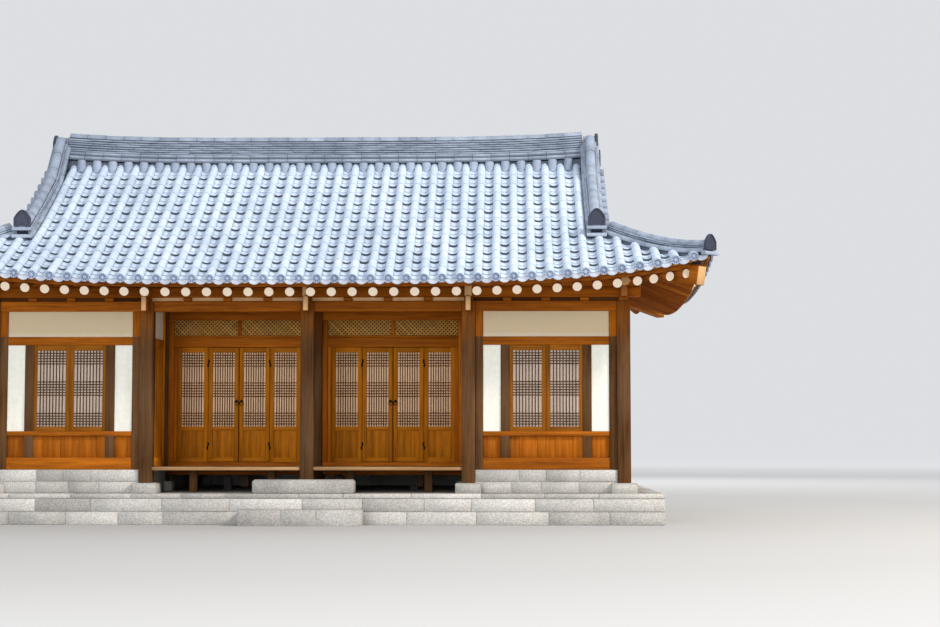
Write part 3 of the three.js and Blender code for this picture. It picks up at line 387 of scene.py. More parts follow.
def timberMaterial(name, dark, light, endColor, roughness=0.66, onObject=False, weather=None, sheltered=None):
    # dark and light bands by the grain, each timber's own tone, silvered patches, paler end grain,
    # and the two fresher colours that are left high up under the eaves
    material, tree = startMaterial(name, roughness, 0.06)
    place = objectPlace(tree) if onObject else attributeOf(tree, "grain", "Vector")
    grain = placeGroup(tree, woodGrain, place)
    blotch = placeGroup(tree, mottle, place, Broad=1.3, Fine=11.0)
    color = mixColor(tree, (grain, "Bands"), dark, light)
    color = shaded(tree, color, (grain, "Fibres"), 0.3, 0.7, 0.82, 1.14)
    if weather:
        color = mixColor(tree, mathNode(tree, "MULTIPLY", (blotch, "Broad"), weather[0]), color, weather[1])
    if sheltered:
        high = mathNode(tree, "ADD", heightOf(tree, objectPlace(tree)), mathNode(
            tree, "MULTIPLY", (grain, "Fibres"), 0.7))
        high = rangeNode(tree, high, floorTop + 2.1, floorTop + 2.65, 0.0, 0.9)
        color = mixColor(tree, high, color, mixColor(tree, (grain, "Bands"), *sheltered))
    color = mixColor(tree, mathNode(tree, "MULTIPLY", (grain, "Cracks"), 0.6), color, (0.035, 0.02, 0.012))
    if not onObject:
        color = shaded(tree, color, attributeOf(tree, "tone"), 0.0, 1.0, 0.62, 1.38)
        color = mixColor(tree, mathNode(tree, "MULTIPLY", attributeOf(tree, "mark"), 0.85), color, endColor)
    return closeMaterial(
        material, color, (grain, "Height"), 0.5, 0.004, (blotch, "Fine"), roughness - 0.1, roughness + 0.12)


def boardMaterial(name, dark, light, width, turned=False, roughness=0.62):
    # planks along X, or along Y where turned: grain shifted and shaded plank by plank, dark in the joints
    material, tree = startMaterial(name, roughness, 0.2)
    place = objectPlace(tree)
    if turned:
        place = addNode(tree, "Mapping", {"Vector": place, "Rotation": (0, 0, math.pi / 2)}), "Vector"
    seams = placeGroup(tree, plankSeams, place, Width=width)
    shift = addNode(tree, "CombineXYZ", {"X": mathNode(tree, "MULTIPLY", (seams, "Shade"), 13.0)})
    moved = addNode(tree, "VectorMath", {0: place, 1: (shift, "Vector")}, operation="ADD")
    grain = placeGroup(tree, woodGrain, (moved, "Vector"))
    color = mixColor(tree, (grain, "Bands"), dark, light)
    color = shaded(tree, color, (seams, "Shade"), 0.0, 1.0, 0.78, 1.2)
    color = shaded(tree, color, (grain, "Fibres"), 0.3, 0.7, 0.84, 1.12)
    color = mixColor(tree, (seams, "Seam"), color, (0.02, 0.009, 0.004))
    height = mathNode(tree, "SUBTRACT", (grain, "Height"), mathNode(tree, "MULTIPLY", (seams, "Seam"), 1.5))
    return closeMaterial(material, color, height, 0.5, 0.004)


def tonedBase(tree, spots, share):
    # each piece's own tone with broad blotches
    return mathNode(tree, "ADD", mathNode(tree, "MULTIPLY", attributeOf(tree, "tone"), share), mathNode(
        tree, "MULTIPLY", (spots, "Broad"), 1 - share), True)


def tileMaterial(name, dark, light, jointAndShadeColor):
    # fired grey clay: blotches and each tile's tone between two greys; the mark darkens it toward a
    # near-black colour, partly dark joints and partly painted shade
    material, tree = startMaterial(name, 0.6, 0.35)
    spots = placeGroup(tree, mottle, objectPlace(tree), Broad=1.1, Fine=26.0)
    color = mixColor(tree, tonedBase(tree, spots, 0.62), dark, light)
    color = shaded(tree, color, (spots, "Fine"), 0.0, 1.0, 0.88, 1.1)
    # dark joints and painted shade: the mark pulls the colour toward near black under tile edges, along
    # flanks and in hollows
    color = mixColor(tree, mathNode(tree, "POWER", attributeOf(tree, "mark"), 1.3), color, jointAndShadeColor)
    return closeMaterial(material, color, (spots, "Fine"), 0.25, 0.002, (spots, "Fine"), 0.48, 0.7)


def plasterMaterial(name, base, stain, topStainAndShade=None):
    # lime plaster: trowel waves and faint warm stains; toward the lintels it turns a darker warm tan, partly
    # age stain and partly painted shade and warm bounce light under the eaves
    material, tree = startMaterial(name, 0.85)
    place = objectPlace(tree)
    spots = placeGroup(tree, mottle, place, Broad=1.7, Fine=14.0)
    streak = noiseNode(tree, stretched(tree, place, (9, 9, 0.7)), 1.3, 4)
    worn = mathNode(tree, "MULTIPLY", (spots, "Broad"), rangeNode(tree, streak, 0.35, 0.7))
    color = mixColor(tree, mathNode(tree, "MULTIPLY", worn, 0.55), base, stain)
    color = shaded(tree, color, (spots, "Fine"), 0.0, 1.0, 0.95, 1.04)
    if topStainAndShade:
        # painted shade and warm bounce light with some age stain, rising with height toward the lintels
        high = rangeNode(tree, heightOf(tree, place), floorTop + 1.74, floorTop + 1.97, 0.0, 0.9)
        color = mixColor(tree, high, color, topStainAndShade)
    return closeMaterial(material, color, (spots, "Fine"), 0.18, 0.004)


def stoneMaterial(name, dark, light, speckScale=60.0, useTone=True):
    # granite: black and pale grains, broad stains, each block's own tone
    material, tree = startMaterial(name, 0.8)
    spots = placeGroup(tree, mottle, objectPlace(tree), Broad=2.2, Fine=speckScale)
    color = mixColor(tree, tonedBase(tree, spots, 0.6) if useTone else (spots, "Broad"), dark, light)
    color = shaded(tree, color, (spots, "Fine"), 0.2, 0.9, 0.72, 1.18)
    return closeMaterial(material, color, (spots, "Fine"), 0.4, 0.006)


def plainMaterial(name, color, roughness, spread=0.12, scale=7.0, metallic=0.0):
    # one colour with a slight unevenness in shade and gloss
    material, tree = startMaterial(name, roughness, 0.5, metallic)
    spots = placeGroup(tree, mottle, objectPlace(tree), Broad=scale, Fine=scale * 8)
    color = shaded(tree, color, (spots, "Broad"), 0.0, 1.0, 1 - spread, 1 + spread)
    return closeMaterial(
        material, color, (spots, "Fine"), 0.15, 0.002, (spots, "Fine"), roughness - 0.08, roughness + 0.08)


# Each finish with the slot that it names
finishes = {
    "tile": (tileMaterial(
        "grey roof tile", (0.36, 0.43, 0.54), (0.67, 0.76, 0.88), (0.008, 0.013, 0.024)), "roof_tile"),
    "tongueTile": (tileMaterial(
        "end tongue tile", (0.33, 0.35, 0.41), (0.58, 0.61, 0.69), (0.03, 0.04, 0.06)), "roof_tile"),
    "discTile": (tileMaterial(
        "end disc tile", (0.20, 0.25, 0.35), (0.44, 0.52, 0.67), (0.045, 0.06, 0.095)), "roof_tile"),
    "endTile": (tileMaterial(
        "dark end tile", (0.018, 0.022, 0.040), (0.055, 0.064, 0.105), (0.008, 0.010, 0.018)), "roof_tile"),
    "ridgeTile": (tileMaterial(
        "ridge tile", (0.13, 0.16, 0.22), (0.42, 0.48, 0.58), (0.012, 0.016, 0.026)), "roof_tile"),
    "timber": (timberMaterial(
        "oiled pine", (0.19, 0.046, 0.003), (0.42, 0.120, 0.006), (0.78, 0.50, 0.24)), "timber"),
    "rafterTimber": (timberMaterial(
        "rafter pine", (0.18, 0.046, 0.005), (0.38, 0.110, 0.012), (0.83, 0.71, 0.55)), "timber"),
    "eaveTimber": (timberMaterial(
        "eave board pine", (0.21, 0.055, 0.005), (0.44, 0.130, 0.012), (0.5, 0.3, 0.14)), "timber"),
    "weathered": (timberMaterial(
        "weathered pine", (0.044, 0.017, 0.005), (0.150, 0.061, 0.018), (0.35, 0.27, 0.2), 0.74,
        weather=(0.5, (0.132, 0.078, 0.040)), sheltered=((0.13, 0.036, 0.004), (0.30, 0.095, 0.010))),
        "weathered_timber"),
    "doorTimber": (timberMaterial(
        "door pine", (0.22, 0.064, 0.002), (0.46, 0.152, 0.006), (0.4, 0.24, 0.1)), "door_timber"),
    "windowTimber": (timberMaterial(
        "window pine", (0.15, 0.048, 0.004), (0.34, 0.115, 0.008), (0.4, 0.24, 0.1)), "window_timber"),
    # painted light: a paler copy of the pine for the porch side walls, which stand in the porch's shade
    "porchLitTimber": (timberMaterial(
        "porch wall pine painted lighter", (0.38, 0.125, 0.006), (0.76, 0.270, 0.016), (0.5, 0.3, 0.14)), "timber"),
    "shadedBoard": (timberMaterial(
        "shaded board", (0.060, 0.020, 0.005), (0.12, 0.042, 0.011), (0.1, 0.05, 0.02)), "timber"),
    # painted light and shade: the transom bars are a paler, lit copy of the pine, and the sheet behind them
    # is painted dark as shade
    "transomLitBar": (timberMaterial(
        "transom bar painted lit", (0.36, 0.17, 0.03), (0.68, 0.37, 0.09), (0.3, 0.15, 0.05)), "door_timber"),
    "transomShade": (plainMaterial("painted shade behind the transom", (0.085, 0.032, 0.005), 0.9), "paper"),
    "lattice": (timberMaterial(
        "lattice bar", (0.068, 0.022, 0.003), (0.155, 0.054, 0.008), (0.19, 0.075, 0.016)), "door_timber"),
    "windowLattice": (timberMaterial(
        "window bar", (0.040, 0.020, 0.006), (0.095, 0.046, 0.014), (0.13, 0.06, 0.02)), "window_timber"),
    "floorBoards": (timberMaterial(
        "floor board", (0.22, 0.115, 0.05), (0.42, 0.25, 0.12), (0.35, 0.22, 0.12), 0.42), "floor_boards"),
    "infillPlaster": (plasterMaterial(
        "block infill plaster", (0.86, 0.52, 0.25), (0.68, 0.42, 0.20)), "plaster"),
    # one paper in two colours: the hall door paper painted warmer with bounce light from the timbers, the
    # window paper painted darker as shade
    "hallPaperWarmLit": (plainMaterial("hall door paper with painted warm light", (0.69, 0.46, 0.28), 0.85, 0.08, 3.0), "paper"),
    "windowPaperShaded": (plainMaterial("window paper with painted shade", (0.52, 0.40, 0.32), 0.85, 0.08, 3.0), "paper"),
    "stone": (stoneMaterial("granite block", (0.34, 0.32, 0.29), (0.60, 0.57, 0.52)), "stone"),
    "iron": (plainMaterial("black iron", (0.012, 0.009, 0.007), 0.6, 0.3, 20.0, 1.0), "iron"),
}
print("materials made:", len(finishes))

# Roof surfaces: t in from the eave, a along the eave from its middle, h square to the slope
roof = {
    "eaveX": 5.951, "eaveY": 3.6, "eaveHigh": floorTop + 2.63, "slope": 0.52, "curve": 0.026,
    "cornerRise": 0.37, "riseReach": 6.0, "fadeReach": 2.4, "vergeX": 4.5, "gableOuter": 4.22,
}
tile = {
    "pitch": 0.2587, "rise": 0.02, "course": 0.266, "firstJoint": 0.133, "edgeGap": 0.08,
    "coverRadius": 0.070, "coverThin": 0.006, "lip": 0.015, "coverCentre": 0.024, "foot": 0.05,
    "panHalf": 0.078, "panBowl": 0.020, "bowlHalf": 0.065, "panStep": (0.028, 0.010),
    "discRadius": 0.066, "discTilt": 12, "tongueHalf": 0.08, "tongueDrop": 0.064, "tongueThick": 0.016,
}


def cornerLift(s):
    # rise*(1 - s/6)^4, s from the corner
    return roof["cornerRise"] * np.maximum(0, 1 - s / roof["riseReach"]) ** 4


def troughHeight(t, s):
    # slope*t + curve*t^2, with the corner's lift fading in from the eave as (1 - t/2.4)^2
    fade = np.maximum(0, 1 - t / roof["fadeReach"]) ** 2
    return roof["eaveHigh"] + roof["slope"] * t + roof["curve"] * t ** 2 + cornerLift(s) * fade


def roofFace(name, long, side):
    # reach is half the eave's length, depth its distance from the middle of the house
    reach, depth = (roof["eaveX"], roof["eaveY"]) if long else (roof["eaveY"], roof["eaveX"])
    outward = np.array([0, side, 0.0] if long else [side, 0.0, 0])
    return {"name": name, "long": long, "side": side, "reach": reach, "depth": depth, "outward": outward}


roofFaces = [roofFace("front", True, -1), roofFace("back", True, 1), roofFace("left", False, -1),
             roofFace("right", False, 1)]


def placeOn(face, along, out, z):
    # along the eave and out from the middle of the house
    along, out, z = np.broadcast_arrays(*(np.asarray(values, float) for values in (along, out, z)))
    return np.stack([along, face["side"] * out, z] if face["long"] else [face["side"] * out, along, z], -1)


def roofPoint(face, t, a, h):
    # a point of one side of the roof, with h measured square to its slope
    t, a, h = np.broadcast_arrays(np.asarray(t, float), a, h)
    slope = roof["slope"] + 2 * roof["curve"] * t
    length = np.sqrt(1 + slope ** 2)
    return placeOn(face, a, face["depth"] - (t - h * slope / length),
                   troughHeight(t, face["reach"] - np.abs(a)) + h / length)


def rowPlaces(face, offset):
    reach = face["reach"] - tile["edgeGap"]
    count = int((reach + offset * tile["pitch"]) / tile["pitch"]) + 1
    places = (np.arange(-count, count + 1) + offset) * tile["pitch"]
    return places[np.abs(places) < reach]


def layTiles(face, offset, pitch, first, share):
    # the tiles of all rows: number in the row, place along the eave, and t at the given shares of each tile
    rows = []
    for a in rowPlaces(face, offset):
        # a row ends at the ridge, at the hip line or at the gable wall
        if face["long"]:
            end = roof["eaveY"] - 0.03 if abs(a) < roof["vergeX"] else roof["eaveX"] - abs(a)
        else:
            end = min(roof["eaveX"] - roof["gableOuter"], roof["eaveY"] - abs(a))
        edges = np.unique(np.concatenate([[0.0], np.arange(first, end - 0.25 * pitch, pitch), [end]]))
        rows += [[number, a, *pair] for number, pair in enumerate(zip(edges[:-1], edges[1:]))]
    number, a, low, high = np.array(rows).T[..., None, None]
    return number[:, 0, 0], a, low + share[:, None] * (high - low)


def clayTone(draw, count, middle=0.55, spread=0.11):
    return np.clip(middle + draw.normal(0, spread, count), 0, 1)


def coverTiles(face, seed):
    # half-round shell: u = r*sin(angle), h = centre + r*cos(angle), r shrinking from lower end to upper
    draw = np.random.default_rng(seed)
    share = np.array([0, 0, 0.05, 0.93, 1.0, 1.0])
    number, a, t = layTiles(face, 0.0, tile["course"], tile["course"], share)
    radius, count = tile["coverRadius"], len(number)
    angle = np.radians(np.linspace(-90, 90, 9))
    u = np.concatenate([[-1.0], np.sin(angle), [1.0]])
    h = np.concatenate([[-1.0], np.cos(angle), [-1.0]])
    inset = np.array([tile["lip"], 0, 0.001, 0.9 * tile["coverThin"], tile["coverThin"], tile["lip"]])
    radii = radius - inset[:, None]
    # painted shade: the mark darkens the lower lip, the upper end and both flanks of each cover tile, where
    # the tiles below and beside shade them
    shadeAlong = np.array([0.6, 0.12, 0, 0, 0.45, 0.6])
    shadeAcross = np.array([1, 0.6, 0.06, 0, 0, 0, 0, 0, 0.06, 0.6, 1])
    a = a + draw.normal(0, 0.0018, (count, 1, 1)) + radii * u
    high = tile["rise"] + tile["coverCentre"] + draw.normal(0, 0.0012, (count, 1, 1))
    high = high + np.where(h < 0, -tile["foot"], radii * np.maximum(h, 0))
    mark = np.maximum(shadeAlong[:, None], shadeAcross)
    return solids(roofPoint(face, t, a, high), shell, clayTone(draw, count), mark)


def panTiles(face, seed):
    # shallow bowl: h = bowl*(u/0.065)^2 + step*(1 - share), each lower end standing over the tile below
    draw = np.random.default_rng(seed)
    share = np.array([0, 0, 0.05, 0.86, 1.0, 1.0])
    number, a, t = layTiles(face, 0.5, tile["course"] / 2, tile["firstJoint"], share)
    count = len(number)
    u = np.linspace(-1, 1, 7)
    raised = np.array([-0.1, 1, 0.95, 0.14, 0, -0.4])
    high = (number % 2 == 0) & (number > 0)  # every other tile lies higher and casts a darker line
    # painted shadow: the mark darkens the lower end of each higher tile, the upper end of each lower one
    # under the next tile, and both edges beside the cover rows
    shadeAlong = np.where(high[:, None], [1, 0.85, 0.03, 0, 0.3, 1], [0.5, 0.3, 0.02, 0, 0.95, 1])
    shadeAcross = np.array([0.7, 0.15, 0, 0, 0, 0.15, 0.7])
    step = np.where(high, *tile["panStep"]) * (1 + draw.normal(0, 0.12, count))
    a = a + tile["panHalf"] * u + draw.normal(0, 0.002, (count, 1, 1))
    bowl = tile["rise"] + tile["panBowl"] * (u * tile["panHalf"] / tile["bowlHalf"]) ** 2
    points = roofPoint(face, t, a, bowl + step[:, None, None] * raised[:, None])
    return solids(points, shell, clayTone(draw, count), np.maximum(shadeAlong[:, :, None], shadeAcross))


def endDiscs(face, seed):
    # a round end with a plain eight-petal flower: radius r(i), height w(i) + petal*cos(8*angle)
    draw = np.random.default_rng(seed)
    places = rowPlaces(face, 0.0)
    angle = np.arange(16) / 16 * 2 * np.pi
    radii, proud, petal, shadeRing = np.array([
        [1.0, -0.02, 0, 0.6], [1.0, 0.022, 0, 0.1], [0.82, 0.022, 0, 0.15], [0.78, 0.011, 0.005, 0.85],
        [0.34, 0.011, 0.006, 0.6], [0.30, 0.020, 0, 0.1], [0.16, 0.022, 0, 0.0]]).T[..., None]
    radii = radii * tile["discRadius"]
    outward, tilt = face["outward"], math.radians(tile["discTilt"])
    normal = outward * math.cos(tilt) - np.array([0, 0, math.sin(tilt)])
    up = outward * math.sin(tilt) + np.array([0, 0, math.cos(tilt)])
    centres = roofPoint(face, np.zeros(len(places)), places, tile["rise"] + tile["coverCentre"] + 0.004)
    wave = np.cos(8 * angle)
    right = np.cross(up, normal)
    local = (radii * np.cos(angle))[..., None] * right + (radii * np.sin(angle))[..., None] * up
    points = centres[:, None, None] + (local + (proud + petal * wave)[..., None] * normal)
    # painted shade: the mark darkens the back rim, the sunk ring and the hollows between the raised petals
    mark = shadeRing * np.where(petal > 0, 0.55 - 0.45 * wave, 1.0)
    return solids(points, tube, clayTone(draw, len(places), 0.5, 0.2), mark)


def endTongues(face, seed):
    # hanging lip under each pan's end, drop*(1 - 0.78*|u|^2.2) deep and slightly bowed outward
    draw = np.random.default_rng(seed)
    places = rowPlaces(face, 0.5)[:, None, None]
    u = np.linspace(-1, 1, 9)
    depth = np.array([0, 0.35, 0.7, 0.9, 1.0])[:, None]
    top = tile["panBowl"] * (u * tile["panHalf"] / tile["bowlHalf"]) ** 2
    h = top - depth * (tile["tongueDrop"] * (1 - 0.78 * np.abs(u) ** 2.2) + top * 1.4)
    bow = 0.006 * np.sin(depth * np.pi) * (1 - u ** 2) + 0.004 * depth
    base = roofPoint(face, np.zeros(places.shape), places + tile["tongueHalf"] * u, tile["rise"])
    base = base + h[..., None] * np.array([0, 0, 1.0])
    front, back = (base + (bow - thick)[..., None] * face["outward"] for thick in (0.0, tile["tongueThick"]))
    # front rows downward, then the back rows upward, as one closed band
    # painted shade: the mark darkens the top and foot of the front face and the whole back face, which turns
    # in under the eave
    mark = np.array([0.25, 0.1, 0.05, 0.1, 0.45, 0.7, 0.7, 0.7, 0.7, 0.7])
    return solids(np.concatenate([front, back[:, ::-1]], 1), shell, clayTone(draw, len(places), 0.55, 0.15),
                  mark[:, None])


for number, face in enumerate(roofFaces):
    rows = [f"{face['name']}_tile_rows"] if face["long"] else ()
    for kind, make, seed, finish, smooth, replaced in (
            ("cover_tiles", coverTiles, 10, "tile", 40, rows), ("pan_tiles", panTiles, 20, "tile", 40, ()),
            ("end_discs", endDiscs, 30, "discTile", 30, ()),
            ("end_tongues", endTongues, 40, "tongueTile", 40, ())):
        part = make(face, seed + number)
        addPiece(f"{face['name']}_{kind}", part, finish, replaces=replaced, smooth=smooth)
print("roof tiles laid")

# Ridges of stacked tile
ridge = {
    "x": 4.36, "foot": floorTop + 4.84, "mainSweep": 0.09, "mainEnd": 4.27, "slopeFoot": 2.32,
    "slopeRise": 0.33, "slopeRiseLong": 0.6, "hipFrom": 1.40, "hipTo": 0.04, "flatPitch": 0.34,
    "roundPitch": 0.30, "gap": 0.005, "corePitch": 0.5, "coreLap": -0.002,
}


def roundProfile(radius, centreHigh, offset=0.0, steps=10, base=0.02):
    # half-round: u = offset - r*cos(angle), h = centre + r*sin(angle), closed below
    angle = np.linspace(0, np.pi, steps)
    u = np.concatenate([[-radius], -radius * np.cos(angle), [radius]]) + offset
    h = np.concatenate([[-base], radius * np.sin(angle), [-base]]) + centreHigh
    return np.stack([u, h], 1)


def flatProfile(half, low, high, edge=0.007):
    # a thin tile seen end on, with rounded rims
    u = np.array([-half + edge, -half, -half, -half + edge, half - edge, half, half, half - edge])
    h = np.array([low, low + edge, high - edge, high, high, high - edge, low + edge, low])
    return np.stack([u, h], 1)


def sweepTiles(path, start, end, side, profile, pitch, seed, gap=0.0, wobble=0.0015):
    # profile (u, h) carried along path(p): point = path + u*side + h*up, cut into tiles with open joints
    draw = np.random.default_rng(seed)
    length = np.linalg.norm(np.diff(path(np.linspace(start, end, 60)), axis=0), axis=1).sum()
    count = max(1, round(length / pitch))
    edges = np.linspace(start, end, count + 1)
    step = (end - start) / length * gap / 2
    stations = np.stack([edges[:-1] + step, (edges[:-1] + edges[1:]) / 2, edges[1:] - step], 1)
    nudge = (end - start) * 1e-4
    side = np.asarray(side, float)
    up = unit(np.cross(unit(path(stations + nudge) - path(stations - nudge)), side))
    up = up * np.where(up[..., 2:] < 0, -1, 1)
    local = profile[None, None] + draw.normal(0, wobble, (count, 1, 1, 2))
    points = path(stations)[:, :, None] + local[..., :1] * side + local[..., 1:] * up[:, :, None]
    # the ends of each tile are marked as dark joints; the lowest part of the profile is marked as painted
    # shade under the tile
    low = profile[:, 1] < profile[:, 1].min() + 0.3 * np.ptp(profile[:, 1])
    mark = np.maximum([[0.3], [0], [0.3]], np.where(low, 0.75, 0.0))
    return solids(points, tube, clayTone(draw, count, 0.5, 0.15), mark)


def withMark(part, share=None, level=None):
    # the dark mask thinned to a share, or set to one level
    part["mark"] = part["mark"] * share if level is None else np.full(len(part["mark"]), level)
    return part


def stackRidge(name, path, start, end, side, bands, cap, bed, seed, fillers=(), trim=0.0):
    # bands of half-round and flat tiles laid along a path, over a core and a bed painted dark as shade, under
    # a row of cover tiles
    inner = end + trim * np.sign(start - end)
    parts = []
    for index, (kind, half, low, high) in enumerate(bands):
        if kind == "round":
            rows = [(roundProfile((high - low) * 0.62, (low + high) / 2, sign * half, 8), ridge["roundPitch"],
                     ridge["gap"]) for sign in (-1, 1)]
        else:
            pitch = ridge["flatPitch"] * (1 + 0.1 * (index % 3))
            rows = [(flatProfile(half, low + 0.002, high - 0.003), pitch, 0.003)]
        parts += [sweepTiles(path, start, end, side, profile, pitch, seed + index, gap)
                  for profile, pitch, gap in rows]
    capProfile = roundProfile(*cap, 0.0, 12, 0.012)
    parts.append(sweepTiles(path, start, end, side, capProfile, ridge["roundPitch"], seed + 50, ridge["gap"]))
    core = (flatProfile(bands[-1][1] - 0.02, -0.12, cap[1] + 0.01), 60, 1.0)
    # the core and the bed are painted near black and dark: painted shade in the gaps between the tiles
    for profile, turn, level in (core, (flatProfile(*bed), 61, 0.8)):
        part = sweepTiles(
            path, start, inner, side, profile, ridge["corePitch"], seed + turn, ridge["coreLap"], 0)
        parts.append(withMark(part, level=level))
    addPiece(f"stacked_{name}", [*parts, *fillers], "ridgeTile", replaces=[name], smooth=42)


def mainPath(p):
    p = np.asarray(p, float)
    high = ridge["foot"] + ridge["mainSweep"] * np.abs(p / ridge["x"]) ** 4
    return np.stack([p, np.zeros_like(p), high], -1)


def slopePath(sideX):
    def path(p):
        # p is y; the ridge rises over its last stretch toward the main ridge
        p = np.asarray(p, float)
        base = troughHeight(roof["eaveY"] - np.abs(p), roof["eaveX"] - ridge["x"])
        rise = ridge["slopeRise"] * np.maximum(0, 1 - np.abs(p) / ridge["slopeRiseLong"])
        return np.stack([np.full_like(p, sideX * ridge["x"]), p, base + rise], -1)
    return path


def hipPath(sideX, sideY):
    def path(p):
        p = np.asarray(p, float)
        return np.stack([sideX * (roof["eaveX"] - p), sideY * (roof["eaveY"] - p), troughHeight(p, p)], -1)
    return path


def acrossLine(middle, across):
    return lambda p: middle + np.asarray(p, float)[..., None] * across


def archTile(centre, side, outward, width, high, tone):
    # a standing end tile: straight flanks under an arch 1 - |cos|^1.8, a raised rim and a plain sunk face
    thick, radius, straight = 0.05, width / 2, high - width / 2
    angle = np.linspace(0, np.pi, 14)
    u = np.concatenate([[-radius, -radius], -radius * np.cos(angle), [radius, radius]])
    rise = radius * (1 - np.abs(np.cos(angle)) ** 1.8)
    h = np.concatenate([[0, straight * 0.5], straight + rise, [straight * 0.5, 0]])
    middle = np.array([0, high * 0.5])
    # the mark darkens the sunk face and the back: painted shade in the hollow
    scale, depth, mark = np.array([
        [0.96, 0.0, 0.5], [1.0, 0.004, 0.3], [1.0, thick - 0.005, 0.1],
        [0.97, thick, 0.0], [0.86, thick, 0.1], [0.82, thick * 0.72, 0.45]]).T[..., None]
    flat = middle + (np.stack([u, h], 1) - middle) * scale[..., None]
    up = np.array([0, 0, 1.0])
    points = centre + flat[..., :1] * side + flat[..., 1:] * up + depth[..., None] * outward
    return solids(points[None], tube, tone, mark)


def bandStack(rounds, wide, foot, thick, count):
    # rows of half-round tiles, then flat tiles, each 4 mm narrower a side than the one below
    return [("round", *row) for row in rounds] + [
        ("flat", wide - 0.004 * i, foot + thick * i, foot + thick + thick * i) for i in range(count)]


mainBands = bandStack([(0.135, 0.02, 0.11), (0.10, 0.10, 0.185)], 0.135, 0.180, 0.038, 6)
slopeBands = bandStack([(0.105, 0.02, 0.10)], 0.112, 0.095, 0.03, 3)
hipBands = bandStack([(0.095, 0.02, 0.095)], 0.10, 0.09, 0.027, 3)


def ridgeFillers(seed):
    # rounded fillers that stand between the cover rows under the main ridge
    count = int(ridge["mainEnd"] / tile["pitch"])
    foot = mainPath(np.tile((np.arange(-count, count) + 0.5) * tile["pitch"], 2))
    foot[:, 1] = np.repeat([-0.15, 0.15], 2 * count)
    return withMark(logs(foot - [0, 0, 0.16], foot + [0, 0, 0.045], 0.072, 14, seed, 0.008), 0.4)


stackRidge("main_ridge", mainPath, -ridge["mainEnd"], ridge["mainEnd"], (0, 1, 0), mainBands, (0.088, 0.412),
           (0.15, -0.2, 0.03), 100, [ridgeFillers(90)])
archTiles, footTiles = [], []
crossProfile = roundProfile(0.045, 0.012, base=0.012)
slopeEnd = {"width": 0.26, "high": 0.26, "base": 0.218, "cross": (0.045, 0.158), "out": 0.075}
hipEnd = {"width": 0.23, "high": 0.235, "base": 0.075, "cross": (0.005,), "out": 0.01}
for sideX, label in ((-1, "left"), (1, "right")):
    path, foot = slopePath(sideX), ridge["slopeFoot"]
    stackRidge(f"{label}_slope_ridge", path, -foot, foot, (1, 0, 0), slopeBands, (0.08, 0.182),
               (0.12, -0.1, 0.03), 200)
    for sideY, front in ((-1, "front"), (1, "back")):
        hip = hipPath(sideX, sideY)
        diagonal, corner = (np.array([sideX, turn * sideY, 0]) / math.sqrt(2) for turn in (-1, 1))
        stackRidge(f"{front}_{label}_hip_ridge", hip, ridge["hipFrom"], ridge["hipTo"], diagonal, hipBands,
                   (0.072, 0.165), (0.12, -0.06, 0.03), 300, trim=0.14)
        # an arched tile stands on two tiles laid across each foot
        for base, across, out, kind in (
                (path(sideY * foot), np.array([1.0, 0, 0]), np.array([0, sideY, 0.0]), slopeEnd),
                (hip(ridge["hipTo"]), diagonal, corner, hipEnd)):
            for high in kind["cross"]:
                line = acrossLine(base + [0, 0, high] + (kind["out"] + 0.02) * out, across)
                part = sweepTiles(line, -0.15, 0.15, out, crossProfile, 0.3, 70 + int(high * 100))
                footTiles.append(withMark(part, 0.4))
            centre = base + [0, 0, kind["base"]] + kind["out"] * out
            archTiles.append(archTile(centre, across, out, kind["width"], kind["high"], 0.42))
    for out, rise, width in ((0.09, 0.17, 0.28), (0.13, -0.10, 0.25)):
        centre = mainPath(sideX * ridge["x"]) + [out * sideX, 0, rise]
        archTiles.append(archTile(
            centre, np.array([0, 1.0, 0]), np.array([sideX, 0, 0.0]), width, 0.29, 0.46))
addPiece("ridge_arch_tiles", archTiles, "endTile", smooth=35)
addPiece("ridge_foot_tiles", footTiles, "ridgeTile", smooth=35)
print("ridges stacked")

# Walls: boxes [u0, u1, n0, n1, z0, z1], u along the wall, n out of it, z above the floor
frontWall, hallWall, backWall = ("x", frontLine, -1), ("x", hallLine, -1), ("x", backLine, 1)
endWalls = {side: ("y", side * endLine, side) for side in (-1, 1)}
postTop = floorTop + heights["lintelTop"]


def inWall(plane, boxes, centre=0.0):
    along, at, out = plane
    boxes = np.array(boxes, float).reshape(-1, 6)
    order = [boxes[:, :2] + centre, np.sort(at + out * boxes[:, 2:4], axis=1)]
    return np.concatenate([*(order if along == "x" else order[::-1]), boxes[:, 4:] + floorTop], 1)


def uprights(plane, boxes, seed, centre=0.0, chamfer=0.006):
    return boxTimbers(inWall(plane, boxes, centre), 2, chamfer, seed)


def rails(plane, boxes, seed, centre=0.0, chamfer=0.006):
    return boxTimbers(inWall(plane, boxes, centre), 0 if plane[0] == "x" else 1, chamfer, seed)


def mirrored(boxes):
    return [*boxes, *[[-box[1], -box[0], *box[2:]] for box in boxes]]


def between(edges, gap=0.0):
    # neighbouring pairs of a line of edges, each drawn in by a gap
    return [(low + gap, high - gap) for low, high in zip(edges[:-1], edges[1:])]


def sidePair(side, first, last):
    return sorted([side * first, side * last])


def squarePosts(places, half, low, high):
    return [[x - half, x + half, y - half, y + half, low, high] for x, y in places]


def posts(places, high, seed):
    return boxTimbers(squarePosts(places, postHalf, cornerstoneTop, high), 2, 0.012, seed)


wall = {
    "half": 0.06, "jambPost": 0.12, "windowHalf": 0.546, "windowJamb": 0.135, "stud": 0.05,
    "sill": (0.405, 0.475), "base": (-0.10, 0.08), "middle": (1.771, 1.896), "boards": 7, "boardHalf": 0.015,
}


